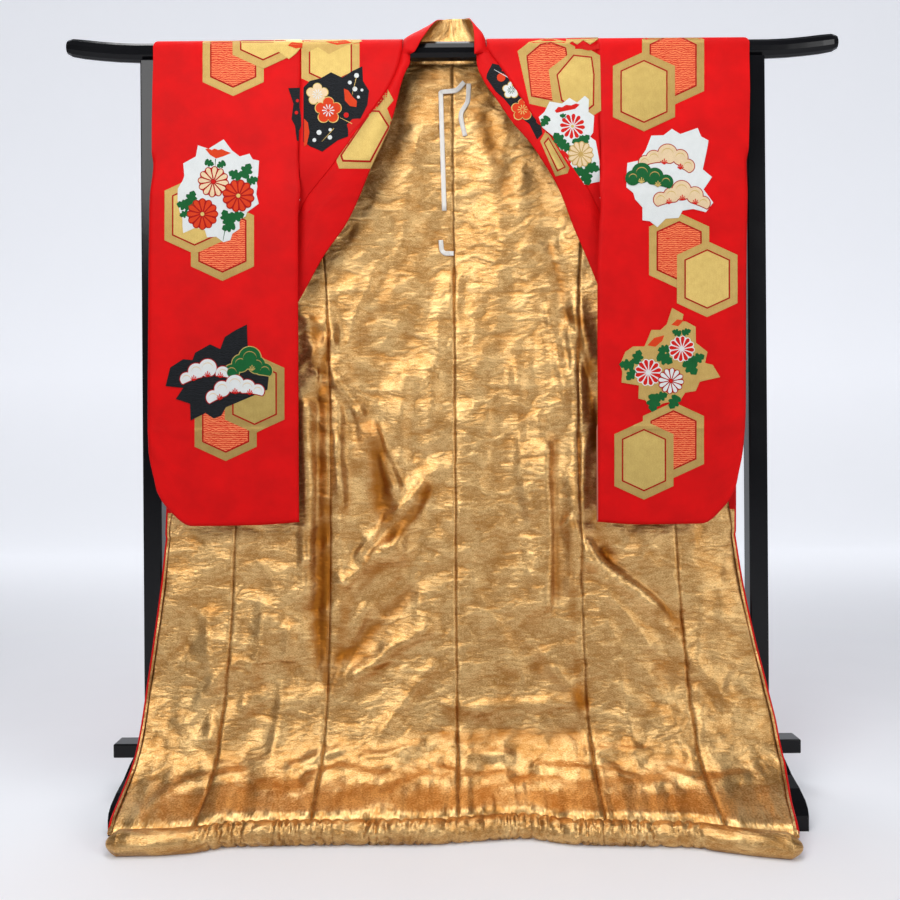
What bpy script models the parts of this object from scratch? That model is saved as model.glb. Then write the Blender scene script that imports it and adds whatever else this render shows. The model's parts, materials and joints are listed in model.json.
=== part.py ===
"""Uchikake wedding kimono hung open on a black lacquered kimono stand.

Metres, +Z up. The viewer looks along +Y, with the viewer's right at +X. The origin lies on the floor
under the middle of the whole part. The garment hangs from the beam: its back falls behind the beam
and comes forward to the hem, the fronts are folded outwards behind the sleeves, so that the gold
lining faces the viewer, and a padded hem roll lies on the floor.
"""

import math

import bpy
import numpy as np

COLLECTION = "uchikake_on_kimono_stand"

# Stand
POST_PLANE = 0.0652  # Y of the posts' and the beam's centre
BEAM_RADIUS = 0.020
BEAM_AXIS = 1.606
BEAM_HALF = 0.835
BEAM_RISE = 0.014
BEAM_RISE_FROM = 0.685
BEAM_RISE_POWER = 1.6
BEAM_STATIONS = (0.0, BEAM_RISE_FROM, 0.725, 0.765, 0.800, 0.824, BEAM_HALF)
BEAM_TAPER = {0.824: 0.94, BEAM_HALF: 0.72}  # share of the radius at the outer stations
POST_OUTER = 0.674
POST_SIDE = 0.040
RAIL_BOTTOM, RAIL_TOP = 0.080, 0.110
RAIL_DEPTH = 0.050
RAIL_HALF = 0.740
EDGE_BEVEL = 0.003
GAP = 0.0003
# The foot's arch from its notch outwards: (distance from the post plane, height)
FOOT_ARCH = (
    (RAIL_DEPTH / 2 + GAP, RAIL_TOP), (0.070, 0.109), (0.109, 0.096), (0.145, 0.078), (0.185, 0.066),
    (0.214, 0.053), (0.226, 0.042), (0.230, 0.030), (0.230, 0.0),
)

# Cloth
OUTER_WALL = 0.0012
LINING_WALL = 0.0012
SLEEVE_WALL = 0.0020
COLLAR_WALL = 0.0022
SEAM_HALF_GAP = 0.00016
WRAP_RADIUS = 0.0236  # middle of the cloth round the beam
TURN_RADIUS = 0.0075  # the front's fold behind the sleeve
EDGE_ROLL_RADIUS = 0.0042  # the same fold where only the rolled front edge is left
EDGE_ROLL_LENGTH = 0.008
EDGE_ROLL_BELOW = 0.7  # height under which the fold has the small radius
FOLD_AT_EDGE_BELOW = 0.5  # height under which the fold is the front edge itself
FRONT_EASE = 0.10  # distance from the side seam over which the front comes forward
RETURN_FROM = 1.15  # height over which the turned-back front has its own depth
FOLDS_BELOW = 1.25
OKUMI_SEAM_SHARE = 0.7  # most of the way from the side seam to the fold that the okumi seam may lie
SLOPE_STEP = 0.002

HEM_HEIGHT = 0.0428  # where the panels meet the hem roll
HEM_SETBACK = 0.013
HEM_REACH = 0.045
HEM_POWER = 1.1
HEM_FADE = 1.15
ROLL_RADIUS = 0.0232
ROLL_AXIS = 0.0205
ROLL_FLATTENING = 1.08  # width of the roll over its height
ROLL_LOWEST = 0.0002
ROLL_END, ROLL_END_START, ROLL_END_LEAST = 0.03, 0.004, 0.1  # length and start of the rounded ends
ROLL_BLUR = 9  # stations over which the hem line is smoothed
GATHER_FADE = 0.02
GATHER_SWAY = 0.002
ROLL_SIDES = 9
ROLL_STATIONS = 176
GATHERS = 44
GATHER_DEPTH = 0.0022

NECK_ROW_HEIGHT = 1.588
SIDE_OPENING_HEIGHT = 1.27
ARMHOLE_HEIGHT = 1.345
OKUMI_TOP_HEIGHT = 1.04
WRAP_ANGLES = (0.0, 45.0, 88.0)
BEAM_ANGLES = (0.0, 45.0, 90.0, 135.0, 180.0)  # of the rows over the beam, from its front
SHOULDER_BACK_DEPTH, SHOULDER_FRONT_DEPTH = -0.0242, 0.0245

# Heights of the rows of the body's panels, from the hem up to the beam's axis
ROW_HEIGHTS = (
    HEM_HEIGHT, 0.058, 0.078, 0.11, 0.16, 0.24, 0.34, 0.45, 0.56, 0.66, 0.76, 0.86, 0.96,
    OKUMI_TOP_HEIGHT, 1.12, 1.20, SIDE_OPENING_HEIGHT, ARMHOLE_HEIGHT, 1.43, 1.52, NECK_ROW_HEIGHT,
)

# Depth in front of the post plane against height: (height, depth)
BACK_CENTRE_DEPTH = (
    (0.05, 0.045), (0.3, 0.030), (0.5, 0.016), (0.7, 0.004), (0.9, -0.008), (1.1, -0.020),
    (1.3, -0.028), (1.52, -0.029), (1.588, -0.0242), (1.61, -0.0236),
)
SIDE_SEAM_DEPTH = (
    (0.05, 0.048), (0.3, 0.038), (0.6, 0.026), (0.9, 0.014), (1.12, 0.010), (1.2, 0.012),
    (1.27, 0.015), (1.345, 0.022), (1.43, 0.002), (1.52, -0.018), (1.588, -0.0240), (1.61, -0.0236),
)
FRONT_DEPTH = ((0.05, 0.050), (0.3, 0.042), (0.56, 0.026), (0.7, 0.027), (1.3, 0.030))
RETURN_DEPTH = (
    (1.2, 0.045), (1.27, 0.049), (1.345, 0.056), (1.43, 0.046), (1.52, 0.034), (1.588, 0.0245),
    (1.61, 0.0236),
)
SLEEVE_FRONT_DEPTH = (
    (0.55, 0.086), (0.9, 0.080), (1.1, 0.076), (1.2, 0.072), (1.27, 0.068), (1.345, 0.056), (1.43, 0.046),
    (1.52, 0.034), (1.588, 0.0248), (1.61, 0.0236),
)
SLEEVE_BACK_DEPTH = (
    (0.55, 0.068), (0.9, 0.064), (1.1, 0.061), (1.2, 0.058), (1.27, 0.055), (1.345, 0.022),
    (1.43, 0.002), (1.52, -0.018), (1.588, -0.0240), (1.61, -0.0236),
)

# Distances from the middle against height, for each side: (height, distance)
LEFT, RIGHT = -1, 1
SHOULDER = {LEFT: 0.326, RIGHT: 0.311}  # to the seam between body and sleeve
SHOULDER_INNER = {LEFT: 0.1072, RIGHT: 0.0742}  # where the cloth over the beam starts beside the neck
ARMHOLE_TO_SIDE_SEAM = {
    LEFT: (
        (0.05, 0.278), (0.2, 0.272), (0.5, 0.268), (0.9, 0.270), (1.1, 0.278), (1.2, 0.290),
        (1.27, 0.302), (1.345, SHOULDER[LEFT]), (1.62, SHOULDER[LEFT]),
    ),
    RIGHT: (
        (0.05, 0.278), (0.2, 0.272), (0.5, 0.268), (0.9, 0.268), (1.1, 0.272), (1.2, 0.280),
        (1.27, 0.290), (1.345, SHOULDER[RIGHT]), (1.62, SHOULDER[RIGHT]),
    ),
}
COLLAR_SEAM = {
    LEFT: (
        (0.96, 0.440), (1.04, 0.402), (1.12, 0.368), (1.20, 0.343), (1.258, 0.3226),
        (1.349, 0.2504), (1.43, 0.195), (1.5125, 0.138), (1.56, 0.117), (1.60, 0.107),
    ),
    RIGHT: (
        (0.96, 0.440), (1.04, 0.402), (1.12, 0.368), (1.20, 0.335), (1.2367, 0.314), (1.29, 0.2865),
        (1.341, 0.2504), (1.375, 0.227), (1.445, 0.172), (1.491, 0.1443), (1.557, 0.104),
        (1.60, 0.074),
    ),
}
COLLAR_EDGE = {
    LEFT: (
        (0.96, 0.392), (1.04, 0.340), (1.069, 0.3226), (1.152, 0.2759), (1.228, 0.2228),
        (1.334, 0.174), (1.44, 0.1294), (1.534, 0.106), (1.57, 0.091),
    ),
    RIGHT: (
        (0.96, 0.392), (1.044, 0.322), (1.0966, 0.3013), (1.154, 0.278), (1.209, 0.2546),
        (1.29, 0.2228), (1.343, 0.191), (1.392, 0.159), (1.434, 0.1252), (1.481, 0.0955),
        (1.523, 0.0679), (1.56, 0.052),
    ),
}
FRONT_EDGE = {
    LEFT: (
        (HEM_HEIGHT, 0.644), (0.058, 0.650), (0.078, 0.652), (0.11, 0.650), (0.16, 0.648), (0.24, 0.643),
        (0.34, 0.633), (0.45, 0.622), (0.56, 0.612), (0.66, 0.592), (0.76, 0.552), (0.86, 0.500),
        (0.96, 0.440),
    ),
    RIGHT: (
        (HEM_HEIGHT, 0.612), (0.058, 0.626), (0.078, 0.640), (0.11, 0.650), (0.16, 0.651), (0.24, 0.641),
        (0.34, 0.622), (0.45, 0.604), (0.56, 0.590), (0.66, 0.575), (0.76, 0.545), (0.86, 0.497),
        (0.96, 0.440),
    ),
}
TURN_REACH = {
    LEFT: (
        (0.56, 0.6185), (0.66, 0.614), (0.76, 0.598), (0.86, 0.568), (0.96, 0.525), (1.04, 0.480),
        (1.12, 0.430), (1.20, 0.376), (1.27, 0.333),
    ),
    RIGHT: (
        (0.56, 0.5965), (0.66, 0.598), (0.76, 0.588), (0.86, 0.562), (0.96, 0.522), (1.04, 0.480),
        (1.12, 0.430), (1.20, 0.366), (1.27, 0.318),
    ),
}
OKUMI_SEAM = ((0.05, 0.492), (0.2, 0.484), (0.4, 0.476), (0.6, 0.470), (0.8, 0.455), (1.04, 0.415))

# The hem roll's middle line: (across, depth in front of the post plane)
HEM_LINE = (
    (-0.648, 0.306), (-0.560, 0.304), (-0.490, 0.294), (-0.420, 0.270), (-0.250, 0.266),
    (-0.065, 0.266), (0.030, 0.254), (0.123, 0.243), (0.213, 0.270), (0.330, 0.279),
    (0.436, 0.287), (0.474, 0.302), (0.540, 0.324), (0.618, 0.342),
)
GATHERED_FROM, GATHERED_TO = -0.490, 0.474

# The largest folds: (across 0, height 0, across 1, height 1, half width, rise towards the viewer)
FOLDS = (
    (-0.322, 0.82, -0.318, 0.42, 0.016, 0.009),
    (-0.294, 0.90, -0.296, 0.25, 0.014, -0.010),
    (-0.262, 0.92, -0.204, 0.82, 0.020, 0.010),
    (-0.182, 0.78, -0.129, 0.65, 0.022, 0.010),
    (-0.161, 0.80, -0.163, 0.56, 0.018, -0.007),
    (-0.064, 0.68, -0.129, 0.53, 0.024, 0.009),
    (-0.129, 0.53, -0.236, 0.46, 0.024, 0.009),
    (-0.075, 0.47, -0.236, 0.31, 0.024, -0.008),
    (-0.075, 0.37, -0.225, 0.25, 0.026, 0.009),
    (0.257, 1.06, 0.311, 0.89, 0.018, 0.010),
    (0.289, 0.93, 0.311, 0.75, 0.016, -0.010),
    (0.222, 0.76, 0.216, 0.42, 0.020, -0.008),
    (0.180, 0.80, 0.172, 0.40, 0.024, 0.007),
    (0.210, 1.19, 0.251, 1.03, 0.020, -0.009),
    (0.242, 0.57, 0.289, 0.50, 0.018, 0.010),
    (0.289, 0.50, 0.429, 0.39, 0.022, 0.010),
    (0.289, 0.59, 0.322, 0.51, 0.018, -0.009),
    (0.322, 0.51, 0.472, 0.38, 0.020, -0.008),
    (0.060, 0.95, 0.010, 0.60, 0.030, 0.006),
    (-0.030, 0.16, 0.245, 0.15, 0.020, -0.009),
    (-0.420, 0.22, -0.520, 0.14, 0.026, 0.007),
    (0.380, 0.20, 0.520, 0.15, 0.026, 0.007),
)

BACK_SHARES = {
    LEFT: (0.0, 0.16, 0.326, 0.52, 0.74, 0.90, 1.0),
    RIGHT: (0.0, 0.115, 0.2315, 0.45, 0.70, 0.88, 1.0),
}
FRONT_SHARES = (0.14, 0.30, 0.52, 1.0)  # from the side seam to the okumi seam
OKUMI_SHARES = (0.34, 0.68, 1.0)  # from the okumi seam to the fold
TURN_ANGLES = (-30.0, 30.0, 90.0)
RETURN_SHARES = (0.34, 0.67, 1.0)
SIDE_SEAM = 6  # column of the side seam
OKUMI = SIDE_SEAM + len(FRONT_SHARES)
TURN = OKUMI + len(OKUMI_SHARES)
RETURN = TURN + len(TURN_ANGLES)
NECK_COLUMN = 2
SHOULDER_SHARES = (0.0, 0.35, 0.7, 1.0)

# Round the neck, from the left front over the beam and behind the neck to the right front. The seam
# and the free edge are each (across, depth in front of the post plane, height)
NECK_STATIONS = (
    ((-0.1055, 0.0236, 1.606), (-0.084, 0.037, 1.588)),
    ((-0.1055, 0.0167, 1.6227), (-0.067, 0.036, 1.614)),
    ((-0.105, 0.0, 1.6300), (-0.052, 0.026, 1.640)),
    ((-0.105, -0.0167, 1.6227), (-0.041, 0.006, 1.664)),
    ((-0.104, -0.0240, 1.606), (-0.034, -0.018, 1.682)),
    ((-0.098, -0.0260, 1.5905), (-0.027, -0.040, 1.694)),
    ((-0.053, -0.0262, 1.5890), (-0.014, -0.054, 1.701)),
    ((0.000, -0.0264, 1.5890), (0.004, -0.058, 1.704)),
    ((0.036, -0.0262, 1.5890), (0.020, -0.054, 1.702)),
    ((0.064, -0.0260, 1.5905), (0.032, -0.040, 1.697)),
    ((0.0695, -0.0240, 1.606), (0.038, -0.018, 1.686)),
    ((0.0695, -0.0167, 1.6227), (0.043, 0.004, 1.668)),
    ((0.0700, 0.0, 1.6300), (0.046, 0.022, 1.645)),
    ((0.0715, 0.0167, 1.6227), (0.047, 0.034, 1.615)),
    ((0.0725, 0.0236, 1.606), (0.047, 0.038, 1.584)),
)
COLLAR_SHARES = (0.0, 0.33, 0.67, 1.0)
COLLAR_CROWN = 0.006
COLLAR_LOWEST = 0.96
COLLAR_FOOT_DEPTH = 0.045  # depth of the collar where it lies inside the folded front
COLLAR_EDGE_LIFT = 0.004
COLLAR_SEAM_GAP = 0.0012

# Sleeves: the row of heights up one layer, the shares across, the outline of the outer edge
SLEEVE_HEIGHTS = (
    0.594, 0.62, 0.67, 0.74, 0.83, 0.92, 1.01, 1.10, 1.19, 1.27, ARMHOLE_HEIGHT, 1.43, 1.52,
    NECK_ROW_HEIGHT,
)
SLEEVE_SHARES = (0.0, 0.10, 0.30, 0.52, 0.74, 0.90, 0.965, 1.0)
SLEEVE_INNER = {
    LEFT: ((0.59, 0.3265), (1.63, 0.3265)),
    RIGHT: (
        (0.59, 0.2965), (1.10, 0.3000), (1.20, 0.3045), (1.27, 0.3115), (1.345, 0.3115),
        (1.63, 0.3115),
    ),
}
SLEEVE_OUTER_FRONT = {
    LEFT: (
        (0.58, 0.630), (0.66, 0.641), (0.8, 0.643), (1.1, 0.641), (1.27, 0.640), (1.345, 0.638),
        (1.43, 0.640), (1.52, 0.642), (1.63, 0.644),
    ),
    RIGHT: (
        (0.58, 0.590), (0.66, 0.601), (0.8, 0.608), (1.1, 0.613), (1.27, 0.619), (1.345, 0.624),
        (1.43, 0.630), (1.52, 0.636), (1.63, 0.640),
    ),
}
SLEEVE_OUTER_BACK = {
    LEFT: ((1.27, 0.640), (1.345, 0.628), (1.40, 0.622), (1.63, 0.620)),
    RIGHT: ((1.27, 0.619), (1.345, 0.612), (1.40, 0.610), (1.63, 0.612)),
}
SLEEVE_BOTTOM = {
    LEFT: ((0.0, 0.590), (0.30, 0.584), (0.74, 0.583), (0.90, 0.620), (0.965, 0.652), (1.0, 0.700)),
    RIGHT: ((0.0, 0.586), (0.30, 0.580), (0.74, 0.581), (0.90, 0.618), (0.965, 0.650), (1.0, 0.690)),
}
SLEEVE_LOWEST_ROW = 0.594
SLEEVE_SQUARE_FROM = 0.83
CUFF_END = ARMHOLE_HEIGHT
SLEEVE_WEDGE = 0.005
SLEEVE_ROUND = 0.008

TAPE_WIDTH = 0.0075
TAPE_WALL = 0.0012
# Each tape: how far its middle lies off the lining, and its route (across, height)
TAPES = {
    "tape_long": (
        0.0019,
        ((0.026, 1.548), (0.006, 1.530), (-0.026, 1.526), (-0.024, 1.44), (-0.020, 1.265)),
    ),
    "tape_short": (0.0012, ((0.036, 1.545), (0.034, 1.51), (0.018, 1.475), (0.027, 1.43))),
    "tape_end": (0.0014, ((-0.028, 1.200), (-0.026, 1.178), (-0.016, 1.170), (0.000, 1.170))),
}

COLOURS = {
    "black_lacquer": ((0.006, 0.006, 0.008), 0.16, 0.0),
    "red_brocade": ((0.55, 0.004, 0.006), 0.48, 0.0),
    "gold_lame": ((0.52, 0.31, 0.10), 0.30, 0.85),
    "white_tape": ((0.72, 0.70, 0.66), 0.70, 0.0),
}


def clear_scene():
    """Remove what the file starts with."""
    for found in list(bpy.data.objects):
        bpy.data.objects.remove(found, do_unlink=True)


def finish_of(name):
    """The material of this name, made once."""
    if name in bpy.data.materials:
        return bpy.data.materials[name]
    colour, roughness, metallic = COLOURS[name]
    made = bpy.data.materials.new(name)
    made.use_nodes = True
    shader = made.node_tree.nodes["Principled BSDF"]
    shader.inputs["Base Color"].default_value = (*colour, 1.0)
    shader.inputs["Roughness"].default_value = roughness
    shader.inputs["Metallic"].default_value = metallic
    return made


def add_object(name, data, finish):
    """Link one named piece to the part's collection and give it its own copy of a finish."""
    piece = bpy.data.objects.new(name, data)
    own = finish_of(finish).copy()
    own.name = f"{name}_{finish}"
    data.materials.append(own)
    bpy.data.collections[COLLECTION].objects.link(piece)
    return piece


def at(table, value):
    """Linear reading of a table of (key, value) rows."""
    rows = np.array(table)
    return np.interp(value, rows[:, 0], rows[:, 1])


def world(across, depth, height):
    """Place from the distance across, the depth in front of the post plane and the height."""
    across, depth, height = np.broadcast_arrays(across, depth, height)
    return np.stack([across, POST_PLANE - depth, height], axis=-1)


def box(name, low, high, finish, bevel=EDGE_BEVEL):
    """A bevelled board between two corners."""
    bpy.ops.mesh.primitive_cube_add(size=1.0)
    cube = bpy.context.object
    mesh = cube.data
    bpy.data.objects.remove(cube)
    piece = add_object(name, mesh, finish)
    low, high = np.array(low), np.array(high)
    corners = np.array([vertex.co[:] for vertex in mesh.vertices]) * (high - low)
    mesh.vertices.foreach_set("co", corners.astype(np.float32).ravel())
    piece.location = (low + high) / 2
    rounding = piece.modifiers.new("edges", "BEVEL")
    rounding.width = bevel
    rounding.segments = 2
    return piece


def add_beam():
    """The round top beam, a curve whose ends rise and narrow."""
    curve = bpy.data.curves.new("beam", "CURVE")
    curve.dimensions = "3D"
    curve.bevel_depth = BEAM_RADIUS
    curve.bevel_resolution = 4
    curve.use_fill_caps = True
    half = np.array(BEAM_STATIONS)
    across = np.concatenate([-half[:0:-1], half])
    share = np.clip((np.abs(across) - BEAM_RISE_FROM) / (BEAM_HALF - BEAM_RISE_FROM), 0, 1)
    rise = BEAM_RISE * share**BEAM_RISE_POWER
    spline = curve.splines.new("POLY")
    spline.points.add(len(across) - 1)
    for point, x, z in zip(spline.points, across, rise):
        point.co = (x, POST_PLANE, BEAM_AXIS + z, 1.0)
        point.radius = BEAM_TAPER.get(float(abs(x)), 1.0)
    add_object("beam", curve, "black_lacquer")


def add_feet_posts_and_rail():
    """Arched feet, square posts and the low rail that lies in the feet's notches under the posts."""
    notch = FOOT_ARCH[0][0]
    seat = RAIL_BOTTOM - GAP
    outline = [(-notch, seat), (notch, seat), *FOOT_ARCH, *((-u, z) for u, z in reversed(FOOT_ARCH))]
    for side, word in ((LEFT, "left"), (RIGHT, "right")):
        curve = bpy.data.curves.new(f"foot_{word}", "CURVE")
        curve.dimensions = "2D"
        curve.fill_mode = "BOTH"
        curve.extrude = POST_SIDE / 2
        spline = curve.splines.new("POLY")
        spline.points.add(len(outline) - 1)
        spline.use_cyclic_u = True
        for point, (u, z) in zip(spline.points, outline):
            point.co = (u, z, 0.0, 1.0)
        foot = add_object(f"foot_{word}", curve, "black_lacquer")
        centre = side * (POST_OUTER - POST_SIDE / 2)
        foot.location = (centre, POST_PLANE, 0.0)
        foot.rotation_euler = (math.pi / 2, 0.0, -math.pi / 2)
        half = POST_SIDE / 2
        box(
            f"post_{word}",
            (centre - half, POST_PLANE - half, RAIL_TOP + GAP),
            (centre + half, POST_PLANE + half, BEAM_AXIS - BEAM_RADIUS - GAP),
            "black_lacquer",
        )
    deep = RAIL_DEPTH / 2
    box(
        "lower_rail",
        (-RAIL_HALF, POST_PLANE - deep, RAIL_BOTTOM),
        (RAIL_HALF, POST_PLANE + deep, RAIL_TOP),
        "black_lacquer",
    )


def fold_rise(across, height):
    """How far the folds bring the cloth towards the viewer at these places."""
    rise = np.zeros(np.broadcast(across, height).shape)
    for x0, z0, x1, z1, width, lift in FOLDS:
        run = np.array([x1 - x0, z1 - z0])
        along = ((across - x0) * run[0] + (height - z0) * run[1]) / (run @ run)
        along = np.clip(along, 0.0, 1.0)
        away = np.hypot(across - x0 - along * run[0], height - z0 - along * run[1])
        rise = rise + lift * np.exp(-((away / width) ** 2))
    return rise


def hem_share(height):
    """1 at the hem, falling off with height: how far the cloth has come forward to the hem line."""
    above = np.maximum(height - HEM_HEIGHT, 0.0)
    fade = np.clip(1.0 - above / HEM_FADE, 0.0, 1.0)
    return fade / (1.0 + (above / HEM_REACH) ** HEM_POWER)


def hung_depth(across, height, plain_depth):
    """Depth of a hanging panel that runs forward to the hem line at the floor."""
    hem = at(HEM_LINE, across) - HEM_SETBACK
    return plain_depth + (hem - plain_depth) * hem_share(height)


def body_columns(side, height):
    """Across, plain depth and lift off the profile of each column of one half of the body."""
    seam = float(at(ARMHOLE_TO_SIDE_SEAM[side], height))
    centre_depth, seam_depth = float(at(BACK_CENTRE_DEPTH, height)), float(at(SIDE_SEAM_DEPTH, height))
    front_depth = float(at(FRONT_DEPTH, height))
    rows = []
    for share in BACK_SHARES[side]:
        rows.append((share * seam, centre_depth + (seam_depth - centre_depth) * share**2, 0.0))
    low = height < SIDE_OPENING_HEIGHT - 1e-6
    if height > SIDE_OPENING_HEIGHT + 1e-6:
        radius, turn = 0.0, SHOULDER[side]
        edge = float(at(COLLAR_SEAM[side], height))
    else:
        edge = float(at(COLLAR_SEAM[side] if height > COLLAR_LOWEST else FRONT_EDGE[side], height))
        radius = EDGE_ROLL_RADIUS if height < EDGE_ROLL_BELOW else TURN_RADIUS
        turn = edge + EDGE_ROLL_RADIUS
        if height > FOLD_AT_EDGE_BELOW:
            turn = float(at(TURN_REACH[side], height))
        edge = min(edge, turn - EDGE_ROLL_LENGTH)
    start = turn - radius
    okumi = min(float(at(OKUMI_SEAM, height)), seam + OKUMI_SEAM_SHARE * (start - seam))
    leg = [seam + share * (okumi - seam) for share in FRONT_SHARES]
    leg += [okumi + share * (start - okumi) for share in OKUMI_SHARES]
    for across in leg:
        blend = min(max((across - seam) / FRONT_EASE, 0.0), 1.0)
        blend = blend * blend * (3 - 2 * blend)
        rows.append((across, seam_depth + (front_depth - seam_depth) * blend, 0.0))
    for angle in TURN_ANGLES:
        lift = radius * (1 + math.sin(math.radians(angle)))
        rows.append((start + radius * math.cos(math.radians(angle)), front_depth, lift))
    last = start if low or radius else SHOULDER[side]
    back_depth = front_depth + 2 * radius if height < RETURN_FROM else float(at(RETURN_DEPTH, height))
    if height > SIDE_OPENING_HEIGHT - 1e-6:
        rows[-1] = (last, back_depth - 2 * radius, 2 * radius)
    for share in RETURN_SHARES:
        rows.append((last + share * (edge - last), back_depth - 2 * radius, 2 * radius))
    return np.array(rows)


def body_grid(side):
    """Middle surface of one half of the body: rows from the hem to the shoulder line, by columns."""
    grid = []
    for height in ROW_HEIGHTS:
        across, plain, lift = body_columns(side, height).T
        depth = hung_depth(side * across, height, plain)
        slope = (hung_depth(side * across, height + SLOPE_STEP, plain) - depth) / SLOPE_STEP
        size = np.hypot(1.0, slope)
        lifted = lift.copy()
        front = np.arange(len(across)) <= TURN
        lifted[front] += fold_rise(side * across, height)[front] * (height < FOLDS_BELOW)
        grid.append(world(side * across, depth + lifted / size, height - lifted * slope / size))
    top = body_columns(side, BEAM_AXIS)[:, 0]
    for angle in WRAP_ANGLES:
        turn = math.radians(angle)
        lean = WRAP_RADIUS * math.cos(turn)
        depth = np.where(np.arange(len(top)) <= SIDE_SEAM, -lean, lean)
        grid.append(world(side * top, depth, BEAM_AXIS + WRAP_RADIUS * math.sin(turn)))
    return np.array(grid)


def quads_of(rows, columns, keep):
    """Corner numbers of the quads of a grid that keep(row, column) is true for."""
    return [
        (r * columns + c, r * columns + c + 1, (r + 1) * columns + c + 1, (r + 1) * columns + c)
        for r in range(rows - 1)
        for c in range(columns - 1)
        if keep(r, c)
    ]


def normals_at(points, quads):
    """Unit normals at the points, from the quads round each."""
    corners = points[np.array(quads)]
    faces = np.cross(corners[:, 2] - corners[:, 0], corners[:, 3] - corners[:, 1])
    faces /= np.linalg.norm(faces, axis=1, keepdims=True)
    total = np.zeros_like(points)
    for corner in range(4):
        np.add.at(total, np.array(quads)[:, corner], faces)
    return total / np.maximum(np.linalg.norm(total, axis=1, keepdims=True), 1e-9)


def border_of(quads):
    """Edges used by one quad only, in that quad's direction, with the two corners facing them."""
    seen = {}
    for a, b, c, d in quads:
        for start, end, after, before in ((a, b, c, d), (b, c, d, a), (c, d, a, b), (d, a, b, c)):
            seen.setdefault(frozenset((start, end)), []).append((start, end, after, before))
    return [uses[0] for uses in seen.values() if len(uses) == 1]


def pulled_in(points, quads, distance):
    """The points with those on the border moved a little inwards, to leave a seam's gap."""
    moved = points.copy()
    pulls = {}
    for start, end, after, before in border_of(quads):
        pulls.setdefault(start, []).append(points[before] - points[start])
        pulls.setdefault(end, []).append(points[after] - points[end])
    for index, ways in pulls.items():
        units = [way / np.linalg.norm(way) for way in ways]
        moved[index] += distance * sum(units) / len(units)
    return moved


def split(quad):
    """Two triangles of a quad, always across its lowest corner, so that neighbouring walls nest."""
    first = quad.index(min(quad))
    a, b, c, d = quad[first:] + quad[:first]
    return (a, b, c), (a, c, d)


def wall(name, near, far, quads, finish):
    """A closed cloth wall: far is the skin that the quads face, near the skin behind it."""
    used = sorted({corner for quad in quads for corner in quad})
    number = {old: new for new, old in enumerate(used)}
    count = len(used)
    triangles = [triangle for quad in quads for triangle in split(quad)]
    faces = [tuple(number[c] for c in triangle) for triangle in triangles]
    faces += [tuple(number[c] + count for c in reversed(triangle)) for triangle in triangles]
    for start, end, _, _ in border_of(quads):
        a, b = number[start], number[end]
        faces.append((b, a, a + count, b + count))
    mesh = bpy.data.meshes.new(name)
    mesh.from_pydata(np.concatenate([far[used], near[used]]).tolist(), [], faces)
    mesh.update()
    mesh.shade_smooth()
    return add_object(name, mesh, finish)


def add_body_half(side, word):
    """Back, front and okumi of one half, each as an outer wall with a lining wall on its inside."""
    grid = body_grid(side)
    rows, columns = grid.shape[:2]
    points = grid.reshape(-1, 3)
    neck = ROW_HEIGHTS.index(NECK_ROW_HEIGHT)
    opening = ROW_HEIGHTS.index(SIDE_OPENING_HEIGHT)
    okumi_top = ROW_HEIGHTS.index(OKUMI_TOP_HEIGHT)

    def in_back(r, c):
        return c < SIDE_SEAM and (r < neck or c >= NECK_COLUMN)

    def in_front(r, c):
        if r >= opening:
            return c >= RETURN
        return c >= SIDE_SEAM and (r >= okumi_top or c < OKUMI)

    def in_okumi(r, c):
        return r < okumi_top and c >= OKUMI

    outer_panels = (
        ("back", lambda r, c: c < SIDE_SEAM and r < neck),
        ("front", lambda r, c: r < opening and in_front(r, c)),
        ("chest", lambda r, c: opening <= r < neck and c >= RETURN),
        ("okumi", in_okumi),
    )
    lining_panels = (("back", in_back), ("front", in_front), ("okumi", in_okumi))
    turned = -1 if side == LEFT else 1
    whole = quads_of(rows, columns, lambda r, c: in_back(r, c) or in_front(r, c) or in_okumi(r, c))
    outwards = -turned * normals_at(points, whole)
    for panels, skin, finish in (
        (outer_panels, (SEAM_HALF_GAP, SEAM_HALF_GAP + OUTER_WALL), "red_brocade"),
        (lining_panels, (-SEAM_HALF_GAP, -SEAM_HALF_GAP - LINING_WALL), "gold_lame"),
    ):
        for piece, keep in panels:
            quads = quads_of(rows, columns, keep)
            if side == RIGHT:
                quads = [tuple(reversed(quad)) for quad in quads]
            inset = pulled_in(points, quads, SEAM_HALF_GAP)
            near, far = (inset + outwards * distance for distance in skin)
            if finish == "gold_lame":
                quads = [tuple(reversed(quad)) for quad in quads]
                piece = f"lining_{piece}"
            wall(f"{piece}_{word}", near, far, quads, finish)


def add_shoulder(side, word):
    """The part of the body that lies over the beam, from the back's top edge to the chest's."""
    inner, outer = SHOULDER_INNER[side], SHOULDER[side]
    rows = [(SHOULDER_BACK_DEPTH, NECK_ROW_HEIGHT, inner)]
    for angle in reversed(BEAM_ANGLES):
        turn = math.radians(angle)
        rows.append((WRAP_RADIUS * math.cos(turn), BEAM_AXIS + WRAP_RADIUS * math.sin(turn), inner))
    rows.append((SHOULDER_FRONT_DEPTH, NECK_ROW_HEIGHT, float(at(COLLAR_SEAM[side], NECK_ROW_HEIGHT))))
    shares = np.array(SHOULDER_SHARES)
    grid = np.array([
        world(side * (start + shares * (outer - start)), depth, height) for depth, height, start in rows
    ])
    count, columns = grid.shape[:2]
    points = grid.reshape(-1, 3)
    quads = quads_of(count, columns, lambda r, c: True)
    if side == RIGHT:
        quads = [tuple(reversed(quad)) for quad in quads]
    outwards = normals_at(points, quads)
    inset = pulled_in(points, quads, SEAM_HALF_GAP)
    skins = (SEAM_HALF_GAP, SEAM_HALF_GAP + OUTER_WALL)
    near, far = (inset + outwards * distance for distance in skins)
    wall(f"shoulder_{word}", near, far, quads, "red_brocade")


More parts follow.
